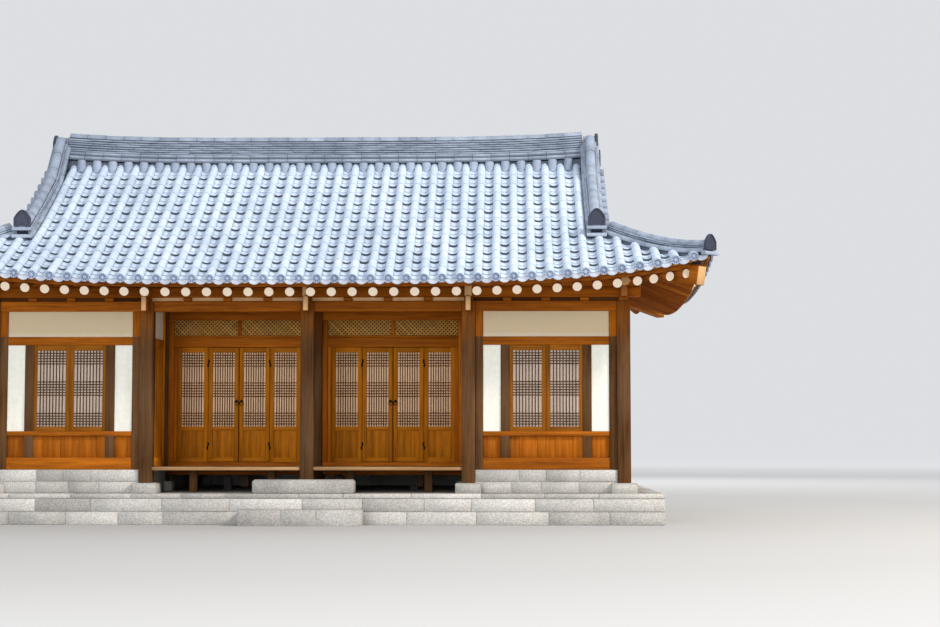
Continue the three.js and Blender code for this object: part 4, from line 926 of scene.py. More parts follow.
def bayParts(plane, centre, half, windowed, seed):
    d, clear = wall["half"], half - wall["jambPost"]
    (_, base), (foot, sill), (head, middle) = wall["base"], wall["sill"], wall["middle"]
    corners = mirrored([[clear, half, -d, d, wall["base"][0], middle]])
    upper = mirrored([[clear, half, -d, d, middle, heights["lintelBottom"]]])
    if windowed:
        span = (wall["windowHalf"], wall["windowHalf"] + wall["windowJamb"], -d, d)
        jambs = mirrored([[*span, base, foot], [*span, sill, head]])
    else:
        jambs = [[-wall["stud"], wall["stud"], -d, d, sill, head]]
    cross = [[-clear, clear, -d, d, *wall[key]] for key in ("base", "sill", "middle")]
    boards = [[*span, -wall["boardHalf"], wall["boardHalf"], base, foot]
              for span in between(np.linspace(-clear, clear, wall["boards"] + 1), 0.001)]
    return ([uprights(plane, corners, seed, centre), uprights(plane, jambs, seed + 1, centre)],
            [rails(plane, cross, seed + 2, centre), uprights(plane, boards, seed + 3, centre, 0.003),
             uprights(plane, upper, seed + 4, centre)])


# Front posts, cross beams and the timbers over the walls
for number, x in enumerate(postLines):
    addPiece(f"house_post_{number + 1}", posts([(x, frontLine)], postTop, 400 + number), "weathered",
             replaces=[f"front_post_{number + 1}"])

beam = {
    "half": 0.12, "reach": 2.25, "headHalf": 0.055, "headReach": 2.70, "bracketHalf": 0.04,
    "bracketReach": 2.75, "bracketInner": 2.0,
}
for number, x in enumerate(innerLines):
    foot, top = floorTop + heights["blockTop"], floorTop + heights["beamTop"]
    body, head = ([[x - beam[half], x + beam[half], -beam[reach], beam[reach], foot, top]]
                  for half, reach in (("half", "reach"), ("headHalf", "headReach")))
    brackets = [
        [x - beam["bracketHalf"], x + beam["bracketHalf"], *sidePair(side, near, far),
         floorTop + heights["bracketBottom"], foot + 0.001]
        for side in (-1, 1) for near, far in ((backLine + postHalf, beam["bracketReach"]),
                                              (beam["bracketInner"], backLine - postHalf))]
    addPiece(f"beam_and_brackets_{number + 1}", [
        boxTimbers(body, 1, 0.03, 410 + number), boxTimbers(head, 1, 0.008, 420 + number, endMark=1.0),
        boxTimbers(brackets, 1, 0.01, 430 + number, endMark=1.0)],
        "timber", replaces=[f"cross_beam_{number + 1}"])

run = {"lintelHalf": 0.07, "plateHalf": 0.05, "blockHalf": 0.065, "cornerReach": 0.26, "purlinRadius": 0.107}


def upperRun(plane, lines, seed):
    # lintel between posts, bearing blocks, upper plate and round purlin
    half, block, plate, radius = run["lintelHalf"], run["blockHalf"], run["plateHalf"], run["purlinRadius"]
    lintels = [[*span, -half, half, heights["lintelBottom"], heights["lintelTop"]]
               for span in between(lines, postHalf)]
    # the front and back runs hold the corner blocks
    places = [*(lines if plane[0] == "x" else lines[1:-1]),
              *[low + share * (high - low) for low, high in between(lines) for share in (0.25, 0.5, 0.75)]]
    blocks = [[u - block, u + block, -block, block, heights["lintelTop"], heights["blockTop"] + 0.001]
              for u in places]
    reach = lines[-1] + run["cornerReach"]
    joints = [-reach, *lines[1:-1], reach]
    plates = [[*span, -plate, plate, heights["blockTop"], heights["plateTop"] + 0.002]
              for span in between(joints)]
    middle = floorTop + heights["purlinTop"] - radius
    ends = [[u, plane[1], middle] if plane[0] == "x" else [plane[1], u, middle] for u in joints]
    return [rails(plane, lintels, seed, chamfer=0.01), rails(plane, blocks, seed + 1, chamfer=0.012),
            rails(plane, plates, seed + 2, chamfer=0.008),
            logs(ends[:-1], ends[1:], radius, 16, seed + 3, 0.01)]


addPiece("front_upper_timbers", upperRun(frontWall, postLines, 440), "timber", replaces=["front_lintel"],
         smooth=30)


def infill(plane, starts, bay, seed):
    # thin strips that close the slots between the bearing blocks
    spans = [(start + bay * i / 4 + run["blockHalf"], start + bay * (i + 1) / 4 - run["blockHalf"])
             for start in starts for i in range(4)]
    strips = [[*span, -0.02, 0.02, heights["lintelTop"], heights["blockTop"]] for span in spans]
    return rails(plane, strips, seed, chamfer=0.001)


centreBays, sideBays, endBays = ((-centreBay, 0.0), centreBay), ((-endLine, centreBay), sideBay), (
    (frontLine, 0.0), backLine)
addPiece("block_infill", infill(frontWall, *centreBays, 445), "infillPlaster")
addPiece("block_boards", [
    infill(frontWall, *sideBays, 446), infill(backWall, *sideBays, 447), infill(backWall, *centreBays, 448),
    infill(endWalls[-1], *endBays, 449), infill(endWalls[1], *endBays, 450)], "shadedBoard")

# Wall frames
sideHalf, centreHalf, endHalf = sideBay / 2 - postHalf, centreBay / 2 - postHalf, backLine / 2 - postHalf
sideCentre = centreBay + sideBay / 2
for label, side in (("left", -1), ("right", 1)):
    old, fresh = bayParts(frontWall, side * sideCentre, sideHalf, True, 450 + 5 * side)
    addPiece(f"{label}_front_jambs", old, "weathered", replaces=[f"{label}_front_frame"])
    addPiece(f"{label}_front_rails", fresh, "timber")
    bays = [bayParts(endWalls[side], frontLine / 2, endHalf, True, 470 + 5 * side),
            bayParts(endWalls[side], backLine / 2, endHalf, False, 480 + 5 * side)]
    addPiece(f"{label}_end_jambs", [*bays[0][0], *bays[1][0], posts([(side * endLine, 0.0)], postTop, 490)],
             "weathered", replaces=[f"{label}_end_frame"])
    addPiece(f"{label}_end_rails", [
        *bays[0][1], *bays[1][1], *upperRun(endWalls[side], [frontLine, 0.0, backLine], 500 + side)],
        "timber", smooth=30)
backBays = [(-sideCentre, sideHalf, True), (-centreBay / 2, centreHalf, False),
            (centreBay / 2, centreHalf, False), (sideCentre, sideHalf, True)]
old, fresh = zip(*[bayParts(backWall, *bay, 510 + 5 * i) for i, bay in enumerate(backBays)])
addPiece("back_jambs", [*sum(old, []), posts([(x, backLine) for x in postLines], postTop, 540)], "weathered",
         replaces=["back_wall_frame"])
addPiece("back_rails", [*sum(fresh, []), *upperRun(backWall, postLines, 545)], "timber", smooth=30)
print("wall frames raised")

# Hall front
hall = {
    "jamb": 0.057, "jambPost": 0.085, "headBeam": (1.80, 1.95), "transom": (1.985, 2.227), "mullion": 0.03,
    "purlinFoot": 3.174, "latticePitch": 0.061, "latticeBar": 0.015,
}
doorwayHalf = centreHalf - hall["jamb"] - hall["jambPost"]
framed = doorwayHalf + hall["jamb"]
bayCentres = [-centreBay / 2, centreBay / 2]
hallFresh, slants = [], []
low, high = hall["transom"]
tall = high - low


def slantBars(centre, u0, u1, lean, seed):
    # slanting bars u = k*pitch + z or u = k*pitch - z, cut off at the frame
    k = np.arange(u0 - tall, u1 + tall, hall["latticePitch"])
    first, last = (k, k + tall) if lean > 0 else (k + tall, k)
    shares = [np.clip((np.clip(edge, u0, u1) - first) / (last - first), 0, 1) for edge in (first, last)]
    keep = shares[1] - shares[0] > 0.04
    n = 0.010 if lean > 0 else 0.016
    spots = [np.stack([centre + first + (last - first) * share, np.full_like(k, hallLine - n),
                       floorTop + low + tall * share], 1)[keep] for share in shares]
    ups = np.cross(unit(spots[1] - spots[0]), [0, 1.0, 0])
    return timbers(*spots, 0.008, hall["latticeBar"], ups, 0.001, seed)


for number, centre in enumerate(bayCentres):
    d, full, thin = wall["half"], [-centreHalf, centreHalf], (-0.04, 0.04)
    seed = 560 + 10 * number
    hallFresh += [
        rails(hallWall, [
            [*full, -d, d, -0.2, 0.0], [-framed, framed, -d - 0.001, d + 0.001, *hall["headBeam"]],
            [*full, -d, d, high, heights["blockTop"] - 0.01],
            [*full, -0.02, 0.02, heights["blockTop"] - 0.011, hall["purlinFoot"]]], seed, centre),
        rails(hallWall, [[*full, *thin, hall["headBeam"][1], low]], seed + 1, centre),
        uprights(hallWall, [[-hall["mullion"], hall["mullion"], *thin, low, high]], seed + 2, centre),
        uprights(hallWall, mirrored([[doorwayHalf, framed, -0.045, 0.045, 0, 1.801]]), seed + 3, centre),
        uprights(hallWall, mirrored([[framed, centreHalf, -d, d, 0, high]]), seed + 4, centre)]
    slants += [slantBars(centre, *sidePair(side, hall["mullion"], framed), lean, seed + 5 + lean)
               for side in (-1, 1) for lean in (-1, 1)]
addPiece("hall_posts", posts([(x, hallLine) for x in innerLines], floorTop + heights["blockTop"], 550),
         "weathered", replaces=["hall_front_frame"])
addPiece("hall_timbers", hallFresh, "timber")
addPiece("transom_lattice", slants, "transomLitBar")
# the paper behind the transom lattice is coloured dark brown: painted shade of the recess behind the bars
papers = [[*sidePair(side, hall["mullion"], framed), -0.004, 0.004, *hall["transom"]] for side in (-1, 1)]
addPiece("transom_paper", [rails(hallWall, papers, 590, centre, 0.001) for centre in bayCentres],
         "transomShade")

# Door leaves and windows
leaf = {
    "half": 0.018, "stile": 0.068, "foot": 0.07, "lockRail": (0.49, 0.553), "topRail": 1.717, "pitch": 0.485,
    "gap": 0.003, "width": 0.480, "bar": 0.0145, "columns": 9, "boards": 3, "hingeOut": 0.028,
    "hingeHeights": (0.25, 1.55), "barrel": 0.06, "hingeRadius": 0.007, "plateLong": 0.02, "pullHigh": 0.95,
}


def latticeBars(plane, u0, u1, z0, z1, rows, depth, seed, centre):
    # upright bars between equal openings, and cross bars at the given heights
    half = leaf["bar"] / 2
    n0, n1 = depth
    standing = [[u - half, u + half, n0, n1, z0, z1] for u in np.linspace(u0, u1, leaf["columns"] + 1)[1:-1]]
    lying = [[u0, u1, n0, n1 - 0.002, z - half, z + half] for z in rows]
    return [uprights(plane, standing, seed, centre, 0.002), rails(plane, lying, seed + 1, centre, 0.002)]


def gridRows(low, high, middle, pitch):
    # three bands of small panes: under the top rail, about the middle and over the lower rail
    count = np.arange(1, 6)
    return [*(high - count * pitch), *(middle - (np.arange(6) * pitch)), *(low + count * pitch)]


def ringPull(centre, out):
    # a torus of radius 30 mm and 4.5 mm hanging on a small round plate
    around, across, radius, thin = 20, 8, 0.03, 0.0045
    a = (np.arange(around) / around * 2 * np.pi)[:, None]
    b = np.arange(across) / across * 2 * np.pi
    reach = radius + thin * np.cos(b)
    ring = np.stack(np.broadcast_arrays(reach * np.cos(a), thin * np.sin(b), reach * np.sin(a)), -1)
    centre, out = np.asarray(centre), np.array(out, float)
    axes = np.stack([np.cross([0, 0, 1.0], out), out, [0, 0, 1.0]])
    hanging = centre + out * 0.012 - [0, 0, radius]
    quads = ringQuads(around + 1, across, True) % (around * across)
    return [orient(makePart(hanging + ring.reshape(-1, 3) @ axes, quads)),
            logs([centre], [centre + out * 0.006], (0.024, 0.022), 12, 1, 0.002),
            logs([centre], [centre + out * 0.018], (0.008, 0.007), 10, 2, 0.002)]


def addDoor(label, centre, number, outer, side, seed):
    name = f"{label}_door_{number}"
    half, stile, foot, rail, head = (leaf[key] for key in ("half", "stile", "foot", "lockRail", "topRail"))
    axisU = -side * leaf["pitch"]
    if outer:
        u0, u1 = sorted([-side * doorwayHalf, axisU - side * leaf["gap"]])
    else:
        u0, u1 = sorted([axisU + side * leaf["gap"], axisU + side * leaf["width"]])
    low, high = (0.0005, 1.7995) if outer else (0.006, 1.794)
    inner = (u0 + stile, u1 - stile)
    body = "house" if outer else name
    boards = [[*span, -0.006, 0.006, foot - 0.005, rail[0] + 0.005]
              for span in between(np.linspace(*inner, leaf["boards"] + 1))]
    addPiece(f"{name}_leaf", [
        uprights(hallWall, [[u0, inner[0], -half, half, low, high], [inner[1], u1, -half, half, low, high]],
                 seed, centre, 0.003),
        rails(hallWall, [[*inner, -half, half, *span] for span in ((low, foot), rail, (head, high))],
              seed + 1, centre, 0.003),
        uprights(hallWall, boards, seed + 2, centre, 0.0025)], "doorTimber", body, [name])
    rows = gridRows(rail[1], head, 1.24, 0.0424)
    bars = latticeBars(hallWall, *inner, rail[1], head, rows, (0.003, 0.016), seed + 3, centre)
    addPiece(f"{name}_lattice", bars, "lattice", body)
    sheet = [[inner[0] - 0.004, inner[1] + 0.004, -0.003, 0.003, rail[1] - 0.004, head + 0.004]]
    addPiece(f"{name}_paper", uprights(hallWall, sheet, 1, centre, 0.0005), "hallPaperWarmLit", body)
    iron = []
    reach = -side if outer else side
    for z in leaf["hingeHeights"]:
        z0 = z - leaf["barrel"] if outer else z
        axis = np.array([centre + axisU, hallLine - leaf["hingeOut"], floorTop + z0])
        plate = [[*sorted([axisU + reach * 0.001, axisU + reach * leaf["plateLong"]]), half - 0.001,
                  half + 0.006, z0 + 0.003, z0 + leaf["barrel"] - 0.003]]
        iron += [logs([axis], [axis + [0, 0, leaf["barrel"] - 0.0005]], leaf["hingeRadius"], 12, 3, 0.001),
                 rails(hallWall, plate, 4, centre, 0.001)]
    if not outer:
        pull = [centre + axisU + side * (leaf["width"] - stile / 2), hallLine - half,
                floorTop + leaf["pullHigh"]]
        iron += ringPull(pull, (0, -1, 0))
    addPiece(f"{name}_iron", iron, "iron", body, smooth=35)


for label, centre in zip(("left_bay", "right_bay"), bayCentres):
    for number, outer, side in ((1, True, 1), (2, False, 1), (3, False, -1), (4, True, -1)):
        addDoor(label, centre, number, outer, side, 600 + 10 * number)

window = {
    "stile": 0.05, "meeting": 0.063, "foot": 0.068, "topRail": 0.081, "depth": (0.014, 0.05), "gap": 0.0003,
}


def addWindow(node, plane, centre, seed):
    half, depth = wall["windowHalf"] - window["gap"], window["depth"]
    low, high = wall["sill"][1] + window["gap"], wall["middle"][0] - window["gap"]
    z0, z1 = low + window["foot"], high - window["topRail"]
    rows = gridRows(z0, z1, 1.218, 0.04)
    standing, lying, bars, sheets = [], [], [], []
    for side in (-1, 1):
        standing += [[*sidePair(side, *edges), *depth, low, high]
                     for edges in ((half, half - window["stile"]), (0.001, window["meeting"]))]
        u0, u1 = sidePair(side, window["meeting"], half - window["stile"])
        lying += [[u0, u1, *depth, low, z0], [u0, u1, *depth, z1, high]]
        bars += latticeBars(plane, u0, u1, z0, z1, rows, (0.033, 0.047), seed + 3 + side, centre)
        sheets.append([u0 - 0.004, u1 + 0.004, 0.028, 0.034, z0 - 0.004, z1 + 0.004])
    addPiece(f"{node}_leaves", [
        uprights(plane, standing, seed, centre, 0.003), rails(plane, lying, seed + 1, centre, 0.003)],
        "windowTimber", replaces=[node])
    addPiece(f"{node}_lattice", bars, "windowLattice")
    addPiece(f"{node}_paper", uprights(plane, sheets, 1, centre, 0.0005), "windowPaperShaded")


for number, (node, plane, centre) in enumerate((
        ("left_front_window", frontWall, -sideCentre), ("right_front_window", frontWall, sideCentre),
        ("left_end_window", endWalls[-1], frontLine / 2), ("right_end_window", endWalls[1], frontLine / 2),
        ("back_window_left", backWall, -sideCentre), ("back_window_right", backWall, sideCentre))):
    addWindow(node, plane, centre, 700 + 10 * number)
print("doors and windows hung")

# Rafters, eave boards and corner rafters
eaves = {
    "overhang": 1.2, "endIn": 0.15, "endHigh": 2.49, "purlinHigh": 2.945, "purlinIn": 2.4, "radius": 0.070,
    "bayCount": 8, "belowEnd": 0.45, "endPitch": 0.3, "endRafterIn": 1.7, "fanFirst": 0.145,
    "fanPitch": 0.235, "fanTurn": 9, "fanCount": 4, "boardIn": (0.17, 0.23), "boardShort": 0.2,
    "boardFoot": 0.059, "edgeDrop": 0.047, "topRise": 0.075, "cornerWide": 0.18, "cornerDeep": 0.282,
    "cornerIn": (0.13, 1.7),
}
hipOffset = roof["eaveX"] - roof["eaveY"]


def rafterHeight(t, s):
    # straight from the lifted outer end to the middle purlin: z = end + slope*(t - 0.15) + lift*(1 - share)
    slope = (eaves["purlinHigh"] - eaves["endHigh"]) / (eaves["overhang"] - eaves["endIn"])
    lift = cornerLift(s) * (1 - eaves["endIn"] / roof["fadeReach"]) ** 2
    share = (t - eaves["endIn"]) / (eaves["purlinIn"] - eaves["endIn"])
    return floorTop + eaves["endHigh"] + slope * (t - eaves["endIn"]) + lift * (1 - share)


def straightRafters(face):
    count = eaves["bayCount"]
    if face["long"]:
        bays = [(-endLine, sideBay), (-centreBay, centreBay), (0.0, centreBay), (centreBay, sideBay)]
        along = np.concatenate([start + (np.arange(count) + 0.5) * bay / count for start, bay in bays])
        # the outermost rafters stop under the end roofs
        inner = np.minimum(eaves["purlinIn"], roof["eaveX"] - np.abs(along) + eaves["belowEnd"])
    else:
        along, inner = (np.arange(-count, count) + 0.5) * eaves["endPitch"], eaves["endRafterIn"]
    s = face["reach"] - np.abs(along)
    return [placeOn(face, along, face["depth"] - t, rafterHeight(t, s)) for t in (eaves["endIn"], inner)]


def fanRafters(face):
    # outer end at endDepth, inner end on the hip line where along equals depth
    j = np.arange(eaves["fanCount"])
    outer = backLine + eaves["fanFirst"] + eaves["fanPitch"] * j
    slope = np.tan(np.radians(eaves["fanTurn"] * (j + 1)))
    endDepth = roof["eaveY"] - eaves["endIn"]
    depth = (outer - endDepth * slope) / (1 - slope)
    shift, extra = (hipOffset, 0) if face["long"] else (0, hipOffset)
    return [
        np.concatenate([
            placeOn(face, sign * (along + shift), out + extra, rafterHeight(t, s)) for sign in (-1, 1)])
        for along, out, t, s in ((outer, endDepth, eaves["endIn"], roof["eaveY"] - outer),
                                 (depth, depth, roof["eaveY"] - depth, roof["eaveY"] - depth))]


def ribbon(corners, seed, turned):
    # a bar between its corner lines, closed at both ends, with the grain along X, or along Y where turned
    rings = np.stack(corners, 1)
    draw = np.random.default_rng(seed)
    grain = rings[..., [1, 0, 2] if turned else [0, 1, 2]] + draw.uniform(0, 9, 3)
    return solids(rings[None], tube, 0.5 + 0.3 * (draw.random() - 0.5), 0.0, grain)


def eaveBoard(face, seed):
    # lies on the rafters' ends and follows the lifted eave
    front, back = eaves["boardIn"]
    along = np.linspace(-1, 1, 49) * (face["reach"] - eaves["boardShort"])
    s = face["reach"] - np.abs(along)
    low = rafterHeight((front + back) / 2, s) + eaves["boardFoot"]
    high = troughHeight(front, s) - eaves["edgeDrop"]
    corners = [placeOn(face, along, face["depth"] - t, z)
               for t, z in ((front, low), (front, high), (back, high), (back, low))]
    return ribbon(corners, seed, not face["long"])


def cornerRafter(sideX, sideY, seed):
    t = np.array(eaves["cornerIn"])
    t0, t1 = eaves["endIn"], eaves["cornerIn"][1]
    z0, z1 = rafterHeight(t0, t0), rafterHeight(t1, t1)
    top = eaves["topRise"] + z0 + (z1 - z0) * (t - t0) / (t1 - t0)
    wide, deep = eaves["cornerWide"], eaves["cornerDeep"]
    middle = np.stack([sideX * (roof["eaveX"] - t), sideY * (roof["eaveY"] - t), top - deep / 2], 1)
    return timbers(middle[:1], middle[1:], wide, deep, (0, 0, 1.0), 0.012, seed, endMark=0.7)


for number, face in enumerate(roofFaces):
    name = face["name"]
    ends = [np.concatenate(pair) for pair in zip(straightRafters(face), fanRafters(face))]
    if face["long"]:
        corners = [cornerRafter(sideX, face["side"], 810 + number) for sideX in (-1, 1)]
        addPiece(f"{name}_corner_rafters", corners, "timber")
    addPiece(f"{name}_round_rafters", logs(*ends, eaves["radius"], 16, 800 + number, 0.005), "rafterTimber",
             replaces=[f"{name}_rafters"], smooth=35)
    addPiece(f"{name}_eave_board", eaveBoard(face, 820 + number), "eaveTimber")
print("rafters laid")

# Porch: floor of beams and planks, and boarded side walls
porch = {
    "front": -2.48, "back": -1.2603, "half": 2.3447, "low": 0.79, "beamWide": 0.15, "crossHalf": 0.055,
    "planks": 5, "feet": (-1.8, -0.6, 0.6, 1.8), "feetLine": -1.85, "footHalf": 0.06,
    "walls": (-2.2997, -1.3003), "wallHalf": 0.06, "postWide": 0.12, "foot": 0.8003, "tops": (2.26, 2.48),
    "boardHalf": 0.05,
}
front, back, low, cross = (porch[key] for key in ("front", "back", "low", "crossHalf"))
inner = front + porch["beamWide"]
edgeBeams = mirrored([[-porch["half"], -postHalf, front, inner, low, porchTop]])
lines = np.linspace(-porch["half"] + cross, porch["half"] - cross, 7)
joists = [[x - cross, x + cross, inner + 0.001, back, low, porchTop - 0.0005] for x in lines]
planks = [[*span, *strip, low + 0.008, porchTop - 0.001] for span in between(lines, cross)
          for strip in between(np.linspace(inner, back, porch["planks"] + 1), 0.001)]
addPiece("porch_boards", [
    boxTimbers(edgeBeams, 0, 0.006, 830), boxTimbers(joists, 1, 0.003, 831),
    boxTimbers(planks, 0, 0.002, 832)], "floorBoards", replaces=["porch_floor"])
feet = [(x, porch["feetLine"]) for x in porch["feet"]]
stubs = squarePosts(feet, porch["footHalf"], platformTop, low + 0.01)
addPiece("porch_feet", boxTimbers(stubs, 2, 0.008, 833), "weathered")
for label, side in (("left", -1), ("right", 1)):
    x, wide, (y0, y1) = side * centreBay, porch["postWide"], porch["walls"]
    full, thin = ((x - porch[half], x + porch[half]) for half in ("wallHalf", "boardHalf"))
    standing = [[*full, *span, porch["foot"], floorTop + top]
                for span, top in zip(((y0, y0 + wide), (y1 - wide, y1)), porch["tops"])]
    lying = [[*full, y0 + wide, y1 - wide, floorTop + z0, floorTop + z1]
             for z0, z1 in (wall["middle"], wall["base"])]
    boards = [[*thin, *span, floorTop + wall["base"][1], floorTop + wall["middle"][0]]
              for span in between(np.linspace(y0 + wide, y1 - wide, porch["planks"] + 1), 0.001)]
    addPiece(f"{label}_porch_wall_timbers", [
        boxTimbers(standing, 2, 0.006, 840), boxTimbers(lying, 1, 0.006, 841),
        boxTimbers(boards, 2, 0.003, 842)], "porchLitTimber")

# Stone work
stones = {
    "x": 5.312, "y": 3.012, "joint": 0.008,
    "courses": ((0.0, 0.19, 0.16), (0.198, 0.38, 0.16), (0.388, 0.456, 0.32)),
    "step": (-3.356, -3.016, 0.0, 0.231), "stepHalf": 0.906, "stepBlocks": (0.5, 0.8), "cornerstone": 0.195,
    "plinthX": (2.53, 4.821), "plinthY": 2.47, "plinthThick": 0.1, "plinthBlocks": (0.35, 0.75),
    "plinthCourses": ((0.45, 0.615), (0.623, 0.798)), "stepStone": (-0.75, 0.75, -2.96, -2.6, 0.451, 0.66),
}


def stoneRun(start, end, seed, shortest=0.6, longest=1.15):
    # joints at uneven steps between two ends
    draw = np.random.default_rng(seed)
    count = max(1, round((end - start) / ((shortest + longest) / 2)))
    steps = draw.uniform(shortest, longest, count)
    edges = start + np.concatenate([[0], np.cumsum(steps)]) / steps.sum() * (end - start)
    return between(edges, stones["joint"] / 2)


def blocks(boxes, seed, chamfer):
    return withMark(boxTimbers(boxes, 0, chamfer, seed, 0.8), 0)


platform, plinth = [], []
outX, outY = stones["x"], stones["y"]
for level, (z0, z1, thick) in enumerate(stones["courses"]):
    for side in (-1, 1):
        platform += [[*span, *sidePair(side, outY, outY - thick), z0, z1]
                     for span in stoneRun(-outX, outX, 850 + 7 * level + side)]
        platform += [[*sidePair(side, outX, outX - thick), *span, z0, z1]
                     for span in stoneRun(-outY + thick, outY - thick, 880 + 7 * level + side)]
platform += [[*span, *stones["step"]]
             for span in stoneRun(-stones["stepHalf"], stones["stepHalf"], 899, *stones["stepBlocks"])]
addPiece("platform_blocks", blocks(platform, 900, 0.01), "stone")
postPlaces = [*[(x, frontLine) for x in postLines], *[(x, hallLine) for x in innerLines],
              *[(x, backLine) for x in postLines], (-endLine, 0.0), (endLine, 0.0)]
bases = squarePosts(postPlaces, stones["cornerstone"], platformTop - 0.02, cornerstoneTop + 0.002)
addPiece("cornerstones", blocks(bases, 901, 0.022), "stone")
(x0, xFace), yFace = stones["plinthX"], stones["plinthY"]
thick, small = stones["plinthThick"], stones["plinthBlocks"]
for level, (z0, z1) in enumerate(stones["plinthCourses"]):
    for sideX, sideY in ((-1, -1), (-1, 1), (1, -1), (1, 1)):
        plinth += [[*sidePair(sideX, *span), *sidePair(sideY, yFace, yFace - thick), z0, z1]
                   for span in stoneRun(x0, endLine - postHalf, 910 + 3 * level + sideX, *small)]
        plinth += [[*sidePair(sideX, xFace, xFace - thick), *sidePair(sideY, *span), z0, z1]
                   for span in stoneRun(postHalf, backLine - postHalf, 930 + 3 * level + sideY, *small)]
    for start in (postHalf, -centreBay + postHalf):
        plinth += [[*span, yFace - thick, yFace, z0, z1]
                   for span in stoneRun(start, start + centreBay - 2 * postHalf, 950 + level, *small)]
addPiece("plinth_stones", blocks(plinth, 960, 0.012), "stone")
addPiece("worn_step_stone", blocks([stones["stepStone"]], 961, 0.03), "stone", replaces=["step_stone"])
print("stone work laid")

# Gables: verge boards, tiles laid across the verge and a tile course at the wall's foot
verge = {
    "board": (4.396, 4.446), "deep": 0.235, "foot": 2.03, "bend": 1.2, "ceilingRidge": 4.619,
    "first": 1.5126, "pitch": 0.2021, "count": 10, "long": 0.2, "radius": 0.068, "round": (0.085, 0.035),
    "flat": (0.068, 0.012), "footX": 4.305, "footRise": 0.095, "footReach": 1.98, "blockX": (4.21, 4.43),
    "blocks": ((0.0, 0.09, 4.376, 4.526), (-0.7, 0.06, 3.85, 3.96), (0.7, 0.06, 3.85, 3.96)),
}


def ceilingHeight(t, s):
    # boarding over the rafters, then straight up to the ridge
    onRafters, start = (rafterHeight(place, s) + eaves["topRise"] for place in (t, eaves["purlinIn"]))
    share = (t - eaves["purlinIn"]) / (roof["eaveY"] - eaves["purlinIn"])
    return np.where(share <= 0, onRafters, start + (floorTop + verge["ceilingRidge"] - start) * share)


def vergeBoards(side, seed):
    half = np.concatenate([
        np.linspace(0, verge["bend"], 5)[:-1], np.linspace(verge["bend"], verge["foot"], 4)])
    (near, far), deep, parts = verge["board"], verge["deep"], []
    for y in (-half[::-1], half):
        z = ceilingHeight(roof["eaveY"] - np.abs(y), roof["eaveX"] - far)
        corners = [np.stack([np.full_like(y, side * x), y, z - drop], -1)
                   for x, drop in ((near, 0), (far, 0), (far, deep), (near, deep))]
        parts.append(ribbon(corners, seed, True))
    return parts


def vergeTiles(side, seed):
    # half-round tiles laid across the slope's edge, with a flat tile between each two
    t, parts = verge["first"] + verge["pitch"] * np.arange(verge["count"]), []

    def inAndOut(t, sideY, reach, rise):
        outer = np.stack([np.full_like(t, side * (roof["vergeX"] + reach)), sideY * (roof["eaveY"] - t),
                          troughHeight(t, roof["eaveX"] - roof["vergeX"]) + rise], -1)
        return outer - [side * verge["long"], 0, 0], outer

    for sideY in (-1, 1):
        spots = inAndOut(t[:-1] + verge["pitch"] / 2, sideY, *verge["flat"])
        parts += [logs(*inAndOut(t, sideY, *verge["round"]), verge["radius"], 14, seed, 0.006),
                  timbers(*spots, 0.12, 0.024, (0, 0, 1.0), 0.004, seed + 1)]
    return withMark(joinParts(parts), 0.3)


def gableFoot(side, seed):
    # a low course of tiles on the end roof along the gable wall: mortar, a flat tile and a half-round one
    def path(p):
        p = np.asarray(p, float)
        z = troughHeight(roof["eaveX"] - verge["footX"], roof["eaveY"] - np.abs(p)) + verge["footRise"]
        return np.stack([np.full_like(p, side * verge["footX"]), p, z], -1)
    mortar, *tiles = [
        sweepTiles(path, -verge["footReach"], verge["footReach"], (1.0, 0, 0), profile, pitch, seed, gap)
        for profile, pitch, gap in ((flatProfile(0.05, -0.1, 0.0), ridge["corePitch"], ridge["coreLap"]),
                                    (flatProfile(0.085, 0.0, 0.025), ridge["flatPitch"], 0.004),
                                    (roundProfile(0.06, 0.022, base=0.01), 0.28, 0.004))]
    # the mortar under the course is painted near black: painted shade under the flat tile
    return [withMark(mortar, level=0.9), *tiles]


for label, side in (("left", -1), ("right", 1)):
    ends = [[*sidePair(side, *verge["blockX"]), y - half, y + half, floorTop + z0, floorTop + z1]
            for y, half, z0, z1 in verge["blocks"]]
    addPiece(f"{label}_verge_boards", [*vergeBoards(side, 970), boxTimbers(ends, 0, 0.006, 971)], "timber")
    addPiece(f"{label}_verge_tiles", vergeTiles(side, 975), "ridgeTile", smooth=40)
    addPiece(f"{label}_gable_foot_tiles", gableFoot(side, 980), "ridgeTile", smooth=40)
print("gables dressed")

# The frame's own pieces that stay
ceilingPine = ((0.20, 0.060, 0.007), (0.42, 0.145, 0.018), 0.21)
for material, names in (
        (plasterMaterial("lime plaster", (0.77, 0.755, 0.66), (0.60, 0.54, 0.43), (0.49, 0.365, 0.21)),
         ("left_front_wall", "right_front_wall", "left_end_wall", "right_end_wall", "back_wall")),
        (plasterMaterial("gable plaster", (0.78, 0.75, 0.67), (0.58, 0.50, 0.38)),
         ("left_gable", "right_gable")),
        # painted light: a paler copy of the plaster for the porch side walls, which stand in the porch's
        # shade
        (plasterMaterial("porch plaster painted lighter", (0.92, 0.87, 0.74), (0.78, 0.70, 0.55)),
         ("left_porch_wall", "right_porch_wall")),
        (stoneMaterial("granite and mortar", (0.30, 0.28, 0.25), (0.44, 0.42, 0.38), 90.0, False),
         ("stone_platform",)),
        (boardMaterial("ceiling board", *ceilingPine), ("front_roof", "back_roof")),
        (boardMaterial("end ceiling board", *ceilingPine, True), ("left_roof", "right_roof")),
        (timberMaterial(
            "roof frame pine", (0.20, 0.10, 0.035), (0.40, 0.22, 0.09), (0.4, 0.3, 0.2), onObject=True),
         ("upper_roof_frame",)),
        (boardMaterial("hall floor board", (0.20, 0.10, 0.04), (0.40, 0.23, 0.10), 0.23, False, 0.45),
         ("hall_floor",))):
    for name in names:
        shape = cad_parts[name].data
        shape.materials.clear()
        shape.materials.append(material)


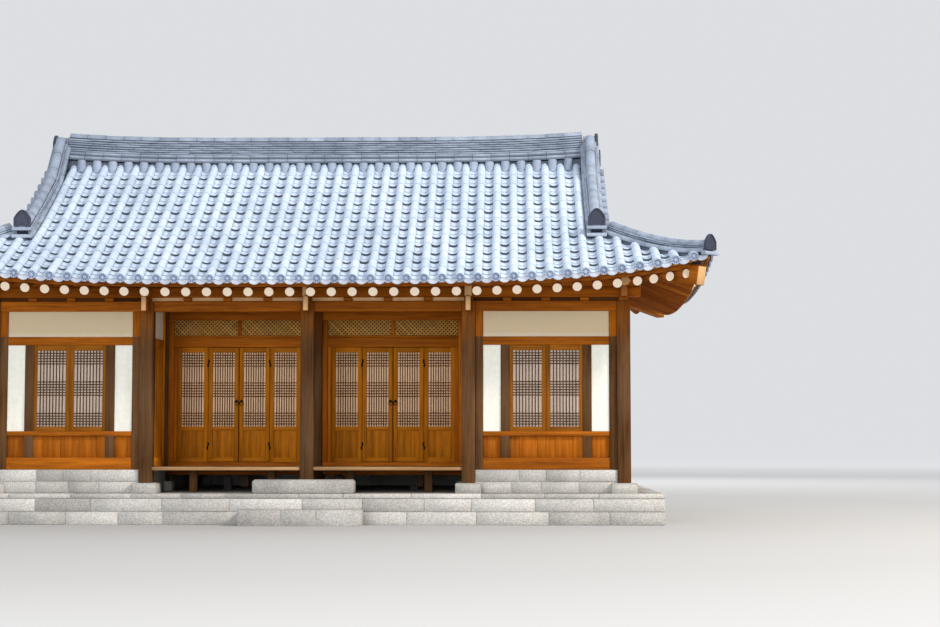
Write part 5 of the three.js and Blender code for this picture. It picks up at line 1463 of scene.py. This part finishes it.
# Floor, light and camera
view = {
    "place": (3.05, -29.4, floorTop + 0.343), "lens": 68.8, "turn": 1.28, "rise": 4.03,
    "floorHalf": 400.0, "floorNear": (0.49, 0.48, 0.468), "floorFar": (1.0, 1.0, 1.0),
    "sky": (0.90, 0.92, 0.95), "skyStrength": 0.8, "aim": (0, 0, 2.5),
}
lamps = {
    "key_light": ((24.0, -15.0, 20.0), 4.0, 8200.0, (1.0, 0.96, 0.90)),
    "fill_light": ((-7.0, -38.0, 8.0), 18.0, 7800.0, (0.88, 0.93, 1.0)),
    "back_light": ((4.0, 26.0, 16.0), 14.0, 2200.0, (0.95, 0.97, 1.0)),
}


def floorMaterial():
    # a plain pale floor that grows paler away from the house, out to the horizon
    material, tree = startMaterial("pale floor", 0.9, 0.0)
    distance = addNode(tree, "VectorMath", {0: objectPlace(tree)}, operation="LENGTH")
    far = rangeNode(tree, (distance, "Value"), 13.0, 60.0)
    color = mixColor(tree, far, view["floorNear"], view["floorFar"])
    feed(tree, tree.nodes["Principled BSDF"], {"Base Color": color})
    return material


def addStage():
    half = view["floorHalf"]
    mesh = bpy.data.meshes.new("studio_floor")
    corners = [[-half, -half, 0], [half, -half, 0], [half, half, 0], [-half, half, 0]]
    mesh.from_pydata(corners, [], [[0, 1, 2, 3]])
    mesh.materials.append(floorMaterial())
    floor = bpy.data.objects.new("studio_floor", mesh)
    bpy.context.scene.collection.objects.link(floor)
    world = bpy.data.worlds.new("studio")
    world.use_nodes = True
    bpy.context.scene.world = world
    feed(world.node_tree, world.node_tree.nodes["Background"], {
        "Color": (*view["sky"], 1), "Strength": view["skyStrength"]})


def addLamp(name, place, size, power, color):
    lamp = bpy.data.lights.new(name, "AREA")
    lamp.size = size
    lamp.energy = power
    lamp.color = color
    holder = bpy.data.objects.new(name, lamp)
    holder.location = place
    toHouse = Vector(view["aim"]) - Vector(place)
    holder.rotation_euler = toHouse.to_track_quat("-Z", "Y").to_euler()
    bpy.context.scene.collection.objects.link(holder)


addStage()
for name, lamp in lamps.items():
    addLamp(name, *lamp)
lens = bpy.data.cameras.new("camera")
lens.lens = view["lens"]
lens.sensor_width = 36.0
lens.clip_end = 600.0
camera = bpy.data.objects.new("camera", lens)
camera.location = view["place"]
camera.rotation_euler = (math.radians(90 + view["rise"]), 0, math.radians(view["turn"]))
bpy.context.scene.collection.objects.link(camera)
bpy.context.scene.camera = camera

print("stage set")
